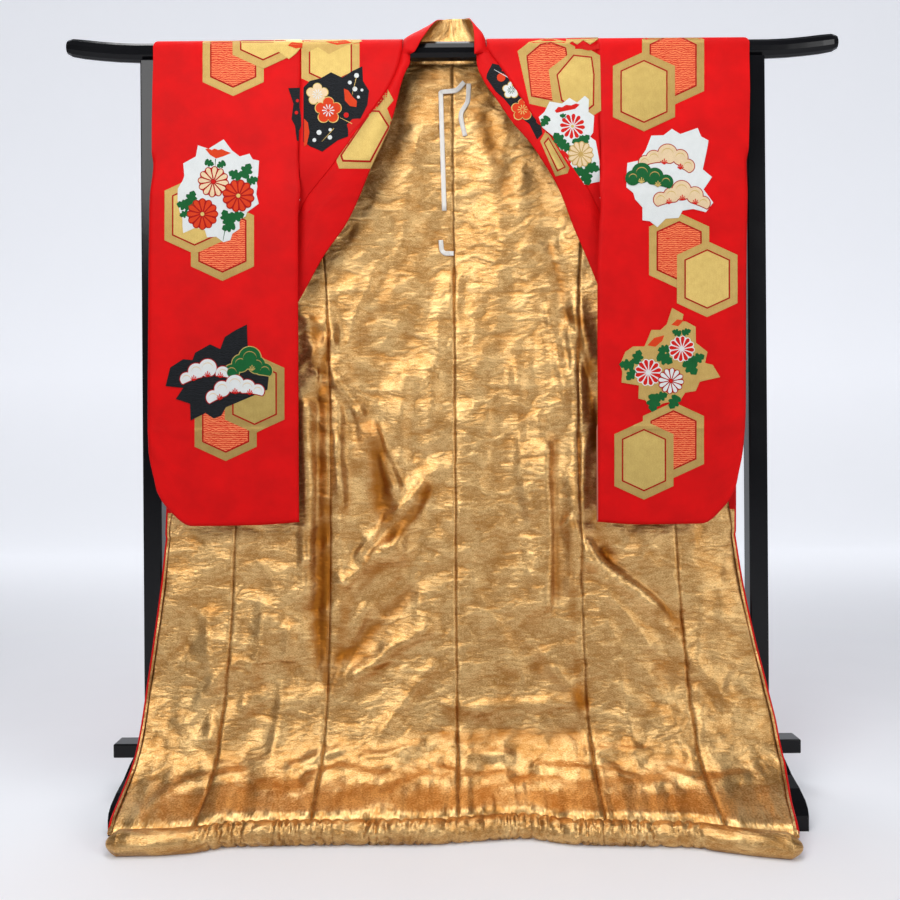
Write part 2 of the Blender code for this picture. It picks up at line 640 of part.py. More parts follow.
def collar_stations():
    """Seam and free edge of the collar, from the left end round the neck to the right end."""
    heights = [height for height in ROW_HEIGHTS if height >= COLLAR_LOWEST]
    sides = {}
    for side in (LEFT, RIGHT):
        run = []
        for height in heights:
            seam = float(at(COLLAR_SEAM[side], height))
            edge = float(at(COLLAR_EDGE[side], height))
            depth = float(at(RETURN_DEPTH, height)) if height > RETURN_FROM else COLLAR_FOOT_DEPTH
            run.append(((side * seam, depth, height), (side * edge, depth + COLLAR_EDGE_LIFT, height)))
        sides[side] = run
    return sides[LEFT] + list(NECK_STATIONS) + sides[RIGHT][::-1]


def add_collar():
    """The collar band, crowned between its seam and its free edge."""
    stations = np.array(collar_stations())
    seam, edge = stations[:, 0], stations[:, 1]
    seam = seam + COLLAR_SEAM_GAP * (edge - seam) / np.linalg.norm(edge - seam, axis=1, keepdims=True)
    shares = np.array(COLLAR_SHARES)[None, :, None]
    grid = seam[:, None] + (edge - seam)[:, None] * shares
    rows, columns = grid.shape[:2]
    points = world(grid[..., 0], grid[..., 1], grid[..., 2]).reshape(-1, 3)
    quads = quads_of(rows, columns, lambda r, c: True)
    outwards = normals_at(points, quads)
    crown = np.tile(4 * shares[0, :, 0] * (1 - shares[0, :, 0]), rows)[:, None] * COLLAR_CROWN
    points = points + outwards * crown
    outwards = normals_at(points, quads)
    half = outwards * COLLAR_WALL / 2
    wall("collar", points - half, points + half, quads, "red_brocade")


def sleeve_layer(side, front):
    """One layer of a sleeve, from its lowest row up to the beam: rows of (across, depth, height)."""
    shares = np.array(SLEEVE_SHARES)
    bottom = at(SLEEVE_BOTTOM[side], shares)
    layer = []
    for height in SLEEVE_HEIGHTS:
        low = np.clip((SLEEVE_SQUARE_FROM - height) / (SLEEVE_SQUARE_FROM - SLEEVE_LOWEST_ROW), 0, 1)
        level = height + low * (bottom + SLEEVE_ROUND - SLEEVE_LOWEST_ROW)
        free_back = not front and height >= SIDE_OPENING_HEIGHT
        outer = float(at((SLEEVE_OUTER_BACK if free_back else SLEEVE_OUTER_FRONT)[side], height))
        inner = float(at(SLEEVE_INNER[side], height))
        across = inner + shares * (outer - inner)
        depth = float(at(SLEEVE_FRONT_DEPTH if front else SLEEVE_BACK_DEPTH, height))
        layer.append(np.stack([across, np.full_like(across, depth), level], axis=-1))
    return layer


def add_sleeve(side, word):
    """One sleeve, a flat bag over the beam: open at its inner edge and, above the cuff's end, outside."""
    shares = np.array(SLEEVE_SHARES)
    front, back = sleeve_layer(side, True), sleeve_layer(side, False)
    bottom = at(SLEEVE_BOTTOM[side], shares)
    rounded = (front[0] + back[0]) / 2
    rounded[:, 2] = bottom
    over = []
    for angle in BEAM_ANGLES:
        turn = math.radians(angle)
        share = (1 + math.cos(turn)) / 2
        outer = share * SLEEVE_OUTER_FRONT[side][-1][1] + (1 - share) * SLEEVE_OUTER_BACK[side][-1][1]
        inner = SLEEVE_INNER[side][-1][1]
        across = inner + shares * (outer - inner)
        depth = np.full_like(across, WRAP_RADIUS * math.cos(turn))
        height = np.full_like(across, BEAM_AXIS + WRAP_RADIUS * math.sin(turn))
        over.append(np.stack([across, depth, height], axis=-1))
    rings = np.array([rounded] + front + over + back[::-1])
    count, columns = rings.shape[:2]
    closed_rows = [r for r in range(len(front)) if SLEEVE_HEIGHTS[r] < CUFF_END - 1e-6]
    joined = {}
    for r in closed_rows:
        front_row, back_row = 1 + r, count - 1 - r
        shared = (rings[front_row, -1] + rings[back_row, -1]) / 2
        rings[front_row, -1] = rings[back_row, -1] = shared
        joined[back_row * columns + columns - 1] = front_row * columns + columns - 1
    points = world(side * rings[..., 0], rings[..., 1], rings[..., 2]).reshape(-1, 3)
    quads = []
    for r in range(count):
        after = (r + 1) % count
        for c in range(columns - 1):
            quad = (r * columns + c, r * columns + c + 1, after * columns + c + 1, after * columns + c)
            quads.append(tuple(joined.get(corner, corner) for corner in quad))
    if side == LEFT:
        quads = [tuple(reversed(quad)) for quad in quads]
    outwards = normals_at(points, quads)
    far = points + outwards * SLEEVE_WALL / 2
    near = points - outwards * SLEEVE_WALL / 2
    wedge = sorted(set(joined.values()) | {columns - 1})
    near[wedge] = points[wedge] - np.array([side * SLEEVE_WEDGE, 0.0, 0.0])
    near[columns - 1, 2] += SLEEVE_WEDGE
    wall(f"sleeve_{word}", near, far, quads, "red_brocade")


def add_hem_roll():
    """The padded hem roll along the hem line, gathered between its smooth ends, flat on the floor."""
    line = np.array(HEM_LINE)
    across = np.linspace(line[0, 0], line[-1, 0], ROLL_STATIONS)
    span = np.interp(across, line[:, 0], line[:, 1])
    blur = np.ones(ROLL_BLUR) / ROLL_BLUR
    depth = np.convolve(np.pad(span, ROLL_BLUR // 2, mode="edge"), blur, mode="valid")
    share = np.clip((across - GATHERED_FROM) / (GATHERED_TO - GATHERED_FROM), 0, 1)
    phase = 2 * math.pi * GATHERS * (share + 0.012 * np.sin(9.0 * share) + 0.006 * np.sin(31.0 * share))
    gathered = np.clip((across - GATHERED_FROM) / GATHER_FADE, 0, 1)
    gathered = gathered * np.clip((GATHERED_TO - across) / GATHER_FADE, 0, 1)
    uneven = 0.65 + 0.35 * np.sin(17.0 * share + 1.0) * np.cos(5.0 * share)
    radius = ROLL_RADIUS - GATHER_DEPTH * gathered * uneven * (0.5 - 0.5 * np.cos(phase))
    ends = np.minimum(across - across[0], across[-1] - across)
    radius = radius * np.sqrt(np.clip((ends + ROLL_END_START) / ROLL_END, ROLL_END_LEAST, 1.0))
    turns = 2 * math.pi * np.arange(ROLL_SIDES) / ROLL_SIDES
    sway = GATHER_SWAY * gathered * np.sin(phase * 0.5 + 1.3)
    around = turns[None, :]
    ring_depth = depth[:, None] + radius[:, None] * ROLL_FLATTENING * np.cos(around)
    height = np.maximum(ROLL_AXIS + radius[:, None] * np.sin(around), ROLL_LOWEST)
    x = across[:, None] + sway[:, None] * np.sin(around) * np.ones_like(height)
    grid = world(x, ring_depth, height)
    stations = len(across)
    points = grid.reshape(-1, 3)
    faces = []
    for s in range(stations - 1):
        for k in range(ROLL_SIDES):
            after = (k + 1) % ROLL_SIDES
            a, b = s * ROLL_SIDES + k, s * ROLL_SIDES + after
            faces.append((a, a + ROLL_SIDES, b + ROLL_SIDES, b))
    faces.append(tuple(range(ROLL_SIDES)))
    faces.append(tuple((stations - 1) * ROLL_SIDES + k for k in range(ROLL_SIDES))[::-1])
    mesh = bpy.data.meshes.new("hem_roll")
    mesh.from_pydata(points.tolist(), [], faces)
    mesh.update()
    mesh.shade_smooth()
    add_object("hem_roll", mesh, "gold_lame")


def lining_depth(across, height):
    """Depth of the back lining's face at a place on the back."""
    side = LEFT if across < 0 else RIGHT
    seam = float(at(ARMHOLE_TO_SIDE_SEAM[side], height))
    share = abs(across) / seam
    centre, edge = float(at(BACK_CENTRE_DEPTH, height)), float(at(SIDE_SEAM_DEPTH, height))
    plain = centre + (edge - centre) * share**2
    hung = float(hung_depth(side * abs(across), height, plain))
    return hung + float(fold_rise(across, height)) * (height < FOLDS_BELOW) + LINING_WALL


def add_tapes():
    """White tapes that hang from inside the collar in front of the back lining."""
    for name, (clearance, route) in TAPES.items():
        path = np.array(route)
        steps = np.linspace(0, len(path) - 1, 4 * (len(path) - 1) + 1)
        places = np.stack([np.interp(steps, np.arange(len(path)), path[:, k]) for k in (0, 1)], axis=-1)
        blurred = places.copy()
        blurred[1:-1] = (places[:-2] + 2 * places[1:-1] + places[2:]) / 4
        run = np.gradient(blurred, axis=0)
        run /= np.linalg.norm(run, axis=1, keepdims=True)
        across_way = np.stack([run[:, 1], -run[:, 0]], axis=-1)
        grid = []
        for place, way in zip(blurred, across_way):
            row = []
            for share in (-0.5, 0.5):
                x, z = place + way * share * TAPE_WIDTH
                row.append((x, lining_depth(x, z) + clearance, z))
            grid.append(row)
        grid = np.array(grid)
        rows, columns = grid.shape[:2]
        points = world(grid[..., 0], grid[..., 1], grid[..., 2]).reshape(-1, 3)
        quads = quads_of(rows, columns, lambda r, c: True)
        outwards = normals_at(points, quads)
        if outwards[0, 1] > 0:
            quads = [tuple(reversed(quad)) for quad in quads]
            outwards = -outwards
        half = outwards * TAPE_WALL / 2
        wall(name, points - half, points + half, quads, "white_tape")


def main():
    clear_scene()
    bpy.context.scene.collection.children.link(bpy.data.collections.new(COLLECTION))
    add_beam()
    add_feet_posts_and_rail()
    for side, word in ((LEFT, "left"), (RIGHT, "right")):
        add_body_half(side, word)
        add_shoulder(side, word)
        add_sleeve(side, word)
    add_collar()
    add_hem_roll()
    add_tapes()


main()
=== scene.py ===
"""Looks of an uchikake wedding kimono on its black kimono stand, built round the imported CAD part.

Every cloth node gets a thin shell on the form of its solid. A cloth is a function from two cloth
coordinates to a place in space, so its grid, its normals and the woven motifs that lie on it all come
from the same formula. Places are (across, depth in front of the post plane, height) until `world`
turns them into metres in the frame. One half of the garment is worked out on the viewer's right
(positive across) and mirrored for the other side.
"""

from __future__ import annotations

import json
import logging
import math
from collections.abc import Callable, Iterator, Sequence
from dataclasses import dataclass, field
from enum import Enum

import bpy
import numpy as np
from mathutils.geometry import delaunay_2d_cdt
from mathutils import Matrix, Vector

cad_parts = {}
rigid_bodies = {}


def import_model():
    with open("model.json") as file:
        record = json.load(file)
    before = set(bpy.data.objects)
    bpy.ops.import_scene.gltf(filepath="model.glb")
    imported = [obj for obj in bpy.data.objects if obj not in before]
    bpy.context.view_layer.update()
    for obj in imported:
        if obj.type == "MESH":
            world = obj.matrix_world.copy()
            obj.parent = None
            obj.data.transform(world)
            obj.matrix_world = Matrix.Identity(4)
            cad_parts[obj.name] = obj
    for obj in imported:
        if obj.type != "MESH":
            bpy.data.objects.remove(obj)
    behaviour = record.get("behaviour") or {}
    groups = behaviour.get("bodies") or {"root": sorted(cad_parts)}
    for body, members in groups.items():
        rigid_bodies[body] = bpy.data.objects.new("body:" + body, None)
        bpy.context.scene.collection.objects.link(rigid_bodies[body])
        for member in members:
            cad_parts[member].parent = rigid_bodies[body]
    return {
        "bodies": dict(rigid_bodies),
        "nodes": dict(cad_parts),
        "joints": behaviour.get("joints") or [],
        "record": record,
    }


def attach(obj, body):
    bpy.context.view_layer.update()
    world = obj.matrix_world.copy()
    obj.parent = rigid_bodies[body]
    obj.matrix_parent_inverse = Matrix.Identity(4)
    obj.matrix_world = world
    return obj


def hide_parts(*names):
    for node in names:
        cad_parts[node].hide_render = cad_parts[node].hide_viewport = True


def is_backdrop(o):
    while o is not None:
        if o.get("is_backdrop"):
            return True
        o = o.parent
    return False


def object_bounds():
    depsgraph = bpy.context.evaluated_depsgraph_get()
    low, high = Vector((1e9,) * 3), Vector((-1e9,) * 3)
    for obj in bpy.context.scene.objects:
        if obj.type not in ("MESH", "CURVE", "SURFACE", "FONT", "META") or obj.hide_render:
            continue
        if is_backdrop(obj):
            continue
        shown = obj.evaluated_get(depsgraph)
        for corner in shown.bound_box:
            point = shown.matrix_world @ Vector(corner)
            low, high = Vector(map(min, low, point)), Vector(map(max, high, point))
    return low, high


logging.basicConfig(level=logging.INFO, format="%(message)s")
log = logging.getLogger("uchikake")

Table = Sequence[tuple[float, float]]
Array = np.ndarray
ROOT = "root"
SHADE_ATTRIBUTE = "tone"  # attribute of the lamé: painted shade, 0 to 1, strongest deep in the folds, with a darker line along the seams


class Side(Enum):
    """Sides of the garment as the viewer sees them."""

    LEFT = -1
    RIGHT = 1

    @property
    def word(self) -> str:
        """Word for this side in the names of pieces."""
        return self.name.lower()


class Slot(Enum):
    """Material slots of the record."""

    BROCADE = "red_brocade"
    LAME = "gold_lame"
    TAPE = "white_tape"


# Frame: the measures that the CAD solids were made from
POST_PLANE = 0.0652
BEAM_AXIS = 1.606
WRAP_RADIUS = 0.0236
TURN_RADIUS, EDGE_ROLL_RADIUS, EDGE_ROLL_LENGTH = 0.0075, 0.0042, 0.008
HEM_HEIGHT, HEM_SETBACK, HEM_REACH, HEM_POWER, HEM_FADE = 0.0428, 0.013, 0.045, 1.1, 1.15
ROLL_RADIUS, ROLL_AXIS = 0.0232, 0.0205
NECK_ROW, SIDE_OPENING, ARMHOLE, OKUMI_TOP = 1.588, 1.27, 1.345, 1.04
SEAM_HALF_GAP, OUTER_WALL, LINING_WALL, SLEEVE_WALL, COLLAR_WALL = 0.00016, 0.0012, 0.0012, 0.0020, 0.0022

BACK_CENTRE_DEPTH: Table = (
    (0.05, 0.045), (0.3, 0.030), (0.5, 0.016), (0.7, 0.004), (0.9, -0.008), (1.1, -0.020),
    (1.3, -0.028), (1.52, -0.029), (1.588, -0.0242), (1.61, -0.0236),
)
SIDE_SEAM_DEPTH: Table = (
    (0.05, 0.048), (0.3, 0.038), (0.6, 0.026), (0.9, 0.014), (1.12, 0.010), (1.2, 0.012),
    (1.27, 0.015), (1.345, 0.022), (1.43, 0.002), (1.52, -0.018), (1.588, -0.0240), (1.61, -0.0236),
)
FRONT_DEPTH: Table = ((0.05, 0.050), (0.3, 0.042), (0.56, 0.026), (0.7, 0.027), (1.3, 0.030))
RETURN_DEPTH: Table = (
    (1.2, 0.045), (1.27, 0.049), (1.345, 0.056), (1.43, 0.046), (1.52, 0.034), (1.588, 0.0245),
    (1.61, 0.0236),
)
SLEEVE_FRONT_DEPTH: Table = (
    (0.55, 0.086), (0.9, 0.080), (1.1, 0.076), (1.2, 0.072), (1.27, 0.068), (1.345, 0.056),
    (1.43, 0.046), (1.52, 0.034), (1.588, 0.0248), (1.61, 0.0236),
)
SLEEVE_BACK_DEPTH: Table = (
    (0.55, 0.068), (0.9, 0.064), (1.1, 0.061), (1.2, 0.058), (1.27, 0.055), (1.345, 0.022),
    (1.43, 0.002), (1.52, -0.018), (1.588, -0.0240), (1.61, -0.0236),
)
SHOULDER = {Side.LEFT: 0.326, Side.RIGHT: 0.311}
ARMHOLE_TO_SIDE_SEAM: dict[Side, Table] = {
    Side.LEFT: (
        (0.05, 0.278), (0.2, 0.272), (0.5, 0.268), (0.9, 0.270), (1.1, 0.278), (1.2, 0.290),
        (1.27, 0.302), (1.345, 0.326), (1.62, 0.326),
    ),
    Side.RIGHT: (
        (0.05, 0.278), (0.2, 0.272), (0.5, 0.268), (0.9, 0.268), (1.1, 0.272), (1.2, 0.280),
        (1.27, 0.290), (1.345, 0.311), (1.62, 0.311),
    ),
}
COLLAR_SEAM: dict[Side, Table] = {
    Side.LEFT: (
        (0.96, 0.440), (1.04, 0.402), (1.12, 0.368), (1.20, 0.343), (1.258, 0.3226),
        (1.349, 0.2504), (1.43, 0.195), (1.5125, 0.138), (1.56, 0.117), (1.60, 0.107),
    ),
    Side.RIGHT: (
        (0.96, 0.440), (1.04, 0.402), (1.12, 0.368), (1.20, 0.335), (1.2367, 0.314), (1.29, 0.2865),
        (1.341, 0.2504), (1.375, 0.227), (1.445, 0.172), (1.491, 0.1443), (1.557, 0.104),
        (1.60, 0.074),
    ),
}
COLLAR_EDGE: dict[Side, Table] = {
    Side.LEFT: (
        (0.96, 0.392), (1.04, 0.340), (1.069, 0.3226), (1.152, 0.2759), (1.228, 0.2228),
        (1.334, 0.174), (1.44, 0.1294), (1.534, 0.106), (1.57, 0.091),
    ),
    Side.RIGHT: (
        (0.96, 0.392), (1.044, 0.322), (1.0966, 0.3013), (1.154, 0.278), (1.209, 0.2546),
        (1.29, 0.2228), (1.343, 0.191), (1.392, 0.159), (1.434, 0.1252), (1.481, 0.0955),
        (1.523, 0.0679), (1.56, 0.052),
    ),
}
FRONT_EDGE: dict[Side, Table] = {
    Side.LEFT: (
        (HEM_HEIGHT, 0.644), (0.058, 0.650), (0.078, 0.652), (0.11, 0.650), (0.16, 0.648),
        (0.24, 0.643), (0.34, 0.633), (0.45, 0.622), (0.56, 0.612), (0.66, 0.592), (0.76, 0.552),
        (0.86, 0.500), (0.96, 0.440),
    ),
    Side.RIGHT: (
        (HEM_HEIGHT, 0.612), (0.058, 0.626), (0.078, 0.640), (0.11, 0.650), (0.16, 0.651),
        (0.24, 0.641), (0.34, 0.622), (0.45, 0.604), (0.56, 0.590), (0.66, 0.575), (0.76, 0.545),
        (0.86, 0.497), (0.96, 0.440),
    ),
}
TURN_REACH: dict[Side, Table] = {
    Side.LEFT: (
        (0.56, 0.6185), (0.66, 0.614), (0.76, 0.598), (0.86, 0.568), (0.96, 0.525), (1.04, 0.480),
        (1.12, 0.430), (1.20, 0.376), (1.27, 0.333),
    ),
    Side.RIGHT: (
        (0.56, 0.5965), (0.66, 0.598), (0.76, 0.588), (0.86, 0.562), (0.96, 0.522), (1.04, 0.480),
        (1.12, 0.430), (1.20, 0.366), (1.27, 0.318),
    ),
}
OKUMI_SEAM: Table = (
    (0.05, 0.492), (0.2, 0.484), (0.4, 0.476), (0.6, 0.470), (0.8, 0.455), (1.04, 0.415),
)
HEM_LINE: Table = (
    (-0.648, 0.306), (-0.560, 0.304), (-0.490, 0.294), (-0.420, 0.270), (-0.250, 0.266),
    (-0.065, 0.266), (0.030, 0.254), (0.123, 0.243), (0.213, 0.270), (0.330, 0.279),
    (0.436, 0.287), (0.474, 0.302), (0.540, 0.324), (0.618, 0.342),
)
GATHERED, GATHERS = (-0.490, 0.474), 46
NECK_SHARE = {Side.LEFT: 0.326, Side.RIGHT: 0.2315}
NECK_STATIONS = (
    ((-0.1055, 0.0236, 1.606), (-0.084, 0.037, 1.588)),
    ((-0.1055, 0.0167, 1.6227), (-0.067, 0.036, 1.614)),
    ((-0.105, 0.0, 1.6300), (-0.052, 0.026, 1.640)),
    ((-0.105, -0.0167, 1.6227), (-0.041, 0.006, 1.664)),
    ((-0.104, -0.0240, 1.606), (-0.034, -0.018, 1.682)),
    ((-0.098, -0.0260, 1.5905), (-0.027, -0.040, 1.694)),
    ((-0.053, -0.0262, 1.5890), (-0.014, -0.054, 1.701)),
    ((0.000, -0.0264, 1.5890), (0.004, -0.058, 1.704)),
    ((0.036, -0.0262, 1.5890), (0.020, -0.054, 1.702)),
    ((0.064, -0.0260, 1.5905), (0.032, -0.040, 1.697)),
    ((0.0695, -0.0240, 1.606), (0.038, -0.018, 1.686)),
    ((0.0695, -0.0167, 1.6227), (0.043, 0.004, 1.668)),
    ((0.0700, 0.0, 1.6300), (0.046, 0.022, 1.645)),
    ((0.0715, 0.0167, 1.6227), (0.047, 0.034, 1.615)),
    ((0.0725, 0.0236, 1.606), (0.047, 0.038, 1.584)),
)
COLLAR_CROWN, COLLAR_SEAM_GAP, COLLAR_LOWEST = 0.006, 0.0002, 0.96
NECK_LAPPED, NECK_LAP = (5, 10), 0.003  # the stations behind the neck, where the band laps over the back
SLEEVE_INNER: dict[Side, Table] = {
    Side.LEFT: ((0.59, 0.3265), (1.63, 0.3265)),
    Side.RIGHT: (
        (0.59, 0.2965), (1.10, 0.3000), (1.20, 0.3045), (1.27, 0.3115), (1.345, 0.3115),
        (1.63, 0.3115),
    ),
}
SLEEVE_OUTER_FRONT: dict[Side, Table] = {
    Side.LEFT: (
        (0.58, 0.630), (0.66, 0.641), (0.8, 0.643), (1.1, 0.641), (1.27, 0.640), (1.345, 0.638),
        (1.43, 0.640), (1.52, 0.642), (1.63, 0.644),
    ),
    Side.RIGHT: (
        (0.58, 0.590), (0.66, 0.601), (0.8, 0.608), (1.1, 0.613), (1.27, 0.619), (1.345, 0.624),
        (1.43, 0.630), (1.52, 0.636), (1.63, 0.640),
    ),
}
SLEEVE_OUTER_BACK: dict[Side, Table] = {
    Side.LEFT: ((1.27, 0.640), (1.345, 0.628), (1.40, 0.622), (1.63, 0.620)),
    Side.RIGHT: ((1.27, 0.619), (1.345, 0.612), (1.40, 0.610), (1.63, 0.612)),
}
SLEEVE_BOTTOM: dict[Side, Table] = {
    Side.LEFT: ((0.0, 0.590), (0.30, 0.584), (0.74, 0.583), (0.90, 0.620), (0.965, 0.652), (1.0, 0.700)),
    Side.RIGHT: ((0.0, 0.586), (0.30, 0.580), (0.74, 0.581), (0.90, 0.618), (0.965, 0.650), (1.0, 0.690)),
}
SLEEVE_LOWEST, SLEEVE_SQUARE_FROM, SLEEVE_ROUND = 0.594, 0.83, 0.008
HEM_TUCK, HEM_DROP = 0.010, 0.008  # how far the lining's lowest row runs on into the hem roll
SHELL_DROP = 0.007  # how far the outer shell's lowest row is let down into it
# Under this height the lining's gold reaches this far round the front edge
PIPING_BELOW, PIPING_COLUMN = 0.60, 101
# The sleeve front's lap over the side opening's top
SLIT_EASE, SLIT_HEIGHT, SLIT_REACH = 0.0045, 1.285, 0.030
BACK_TRIM = 0.0035  # how far the sleeve's back layer stays inside its front layer's inner edge
CAMERA_DISTANCE, CAMERA_HEIGHT, CAMERA_ACROSS, CAMERA_ROLL = 1.96, 0.738, -0.011, math.radians(0.4)
PHOTO_MIDDLE, FOCAL_PIXELS = 450.0, 900.0  # of the 900 × 900 photograph
EDGE_SHARE = 0.965  # of the sleeve's width, where its outer edge starts to round over
CUFF_ACROSS = 0.45  # beyond it a sleeve's edge is the cuff, which shows its lining

# The folds in the solids: (across 0, height 0, across 1, height 1, half width, rise to the viewer)
FRAME_FOLDS = (
    (-0.322, 0.82, -0.318, 0.42, 0.016, 0.009), (-0.294, 0.90, -0.296, 0.25, 0.014, -0.010),
    (-0.262, 0.92, -0.204, 0.82, 0.020, 0.010), (-0.182, 0.78, -0.129, 0.65, 0.022, 0.010),
    (-0.161, 0.80, -0.163, 0.56, 0.018, -0.007), (-0.064, 0.68, -0.129, 0.53, 0.024, 0.009),
    (-0.129, 0.53, -0.236, 0.46, 0.024, 0.009), (-0.075, 0.47, -0.236, 0.31, 0.024, -0.008),
    (-0.075, 0.37, -0.225, 0.25, 0.026, 0.009), (0.257, 1.06, 0.311, 0.89, 0.018, 0.010),
    (0.289, 0.93, 0.311, 0.75, 0.016, -0.010), (0.222, 0.76, 0.216, 0.42, 0.020, -0.008),
    (0.180, 0.80, 0.172, 0.40, 0.024, 0.007), (0.210, 1.19, 0.251, 1.03, 0.020, -0.009),
    (0.242, 0.57, 0.289, 0.50, 0.018, 0.010), (0.289, 0.50, 0.429, 0.39, 0.022, 0.010),
    (0.289, 0.59, 0.322, 0.51, 0.018, -0.009), (0.322, 0.51, 0.472, 0.38, 0.020, -0.008),
    (0.060, 0.95, 0.010, 0.60, 0.030, 0.006), (-0.030, 0.16, 0.245, 0.15, 0.020, -0.009),
    (-0.420, 0.22, -0.520, 0.14, 0.026, 0.007), (0.380, 0.20, 0.520, 0.15, 0.026, 0.007),
)
# Narrower creases of the lining, in the same form, rising from the solid's face
CREASES = (
    (-0.318, 1.02, -0.292, 0.86, 0.009, 0.004), (-0.300, 0.90, -0.262, 0.98, 0.007, 0.004),
    (-0.262, 0.98, -0.236, 0.93, 0.010, 0.003), (-0.255, 0.90, -0.204, 0.82, 0.007, 0.004),
    (-0.204, 0.82, -0.190, 0.70, 0.010, 0.003), (-0.250, 0.75, -0.245, 0.30, 0.012, 0.003),
    (-0.178, 0.79, -0.130, 0.66, 0.007, 0.003), (-0.110, 0.90, -0.120, 0.72, 0.012, 0.002),
    (-0.060, 0.66, -0.125, 0.55, 0.008, 0.003), (-0.140, 0.53, -0.235, 0.47, 0.008, 0.003),
    (-0.060, 0.50, -0.150, 0.40, 0.010, 0.003), (-0.070, 0.36, -0.220, 0.26, 0.009, 0.004),
    (-0.050, 0.28, -0.160, 0.16, 0.012, 0.003), (-0.200, 0.40, -0.262, 0.22, 0.009, 0.003),
    (-0.020, 1.10, -0.060, 0.80, 0.014, 0.002), (-0.180, 1.12, -0.230, 0.98, 0.010, 0.002),
    (0.095, 1.02, 0.060, 0.72, 0.014, 0.002), (0.130, 0.92, 0.160, 0.60, 0.012, 0.003),
    (0.205, 1.05, 0.235, 0.86, 0.009, 0.003), (0.262, 1.05, 0.300, 0.92, 0.007, 0.004),
    (0.262, 0.78, 0.250, 0.44, 0.010, 0.003), (0.198, 0.74, 0.196, 0.40, 0.008, 0.003),
    (0.245, 0.58, 0.290, 0.51, 0.007, 0.003), (0.300, 0.49, 0.420, 0.40, 0.008, 0.004),
    (0.310, 0.45, 0.400, 0.33, 0.012, 0.003), (0.060, 0.40, 0.150, 0.22, 0.014, 0.002),
    (0.180, 0.30, 0.260, 0.18, 0.012, 0.003), (-0.020, 0.205, 0.230, 0.198, 0.009, 0.003),
    (-0.400, 0.42, -0.440, 0.20, 0.012, 0.003), (-0.350, 0.36, -0.380, 0.12, 0.010, 0.003),
    (-0.520, 0.40, -0.500, 0.16, 0.012, 0.003), (-0.460, 0.30, -0.560, 0.18, 0.010, 0.003),
    (0.440, 0.36, 0.560, 0.22, 0.012, 0.003), (0.520, 0.42, 0.500, 0.18, 0.012, 0.003),
    (0.340, 0.28, 0.360, 0.10, 0.010, 0.003), (0.410, 0.26, 0.470, 0.12, 0.010, 0.003),
    (-0.190, 0.115, -0.080, 0.130, 0.008, 0.003), (0.020, 0.120, 0.110, 0.108, 0.008, 0.003),
    (-0.330, 0.10, -0.240, 0.118, 0.008, 0.003), (0.270, 0.11, 0.380, 0.12, 0.008, 0.003),
    (-0.400, 0.066, -0.280, 0.070, 0.007, 0.0026), (-0.300, 0.082, -0.140, 0.090, 0.007, 0.0026),
    (-0.180, 0.064, -0.020, 0.072, 0.007, 0.0026), (-0.050, 0.086, 0.100, 0.078, 0.007, 0.0026),
    (0.050, 0.062, 0.200, 0.070, 0.007, 0.0026), (0.160, 0.090, 0.320, 0.082, 0.007, 0.0026),
    (0.280, 0.066, 0.420, 0.074, 0.007, 0.0026), (0.420, 0.088, 0.560, 0.080, 0.007, 0.0026),
    (-0.580, 0.070, -0.440, 0.084, 0.007, 0.0026), (-0.331, 1.025, -0.256, 1.002, 0.008, 0.004),
    (-0.331, 0.905, -0.268, 0.984, 0.008, 0.004), (-0.251, 0.845, -0.243, 0.631, 0.008, 0.004),
    (-0.174, 0.777, -0.120, 0.605, 0.008, 0.004), (-0.070, 0.665, -0.205, 0.520, 0.008, 0.004),
    (-0.322, 0.830, -0.320, 0.500, 0.009, 0.004), (0.300, 0.86, 0.262, 0.60, 0.008, 0.003),
    (0.250, 1.00, 0.270, 0.80, 0.008, 0.003), (0.010, 1.50, 0.004, 1.28, 0.010, 0.002),
    (-0.070, 1.45, -0.110, 1.20, 0.014, 0.002),
    (0.060, 1.42, 0.110, 1.18, 0.014, 0.002), (0.020, 1.25, 0.000, 1.05, 0.012, 0.002),
)
CREASE_GAIN = (1.25, 2.1)  # width and rise of the creases against the table
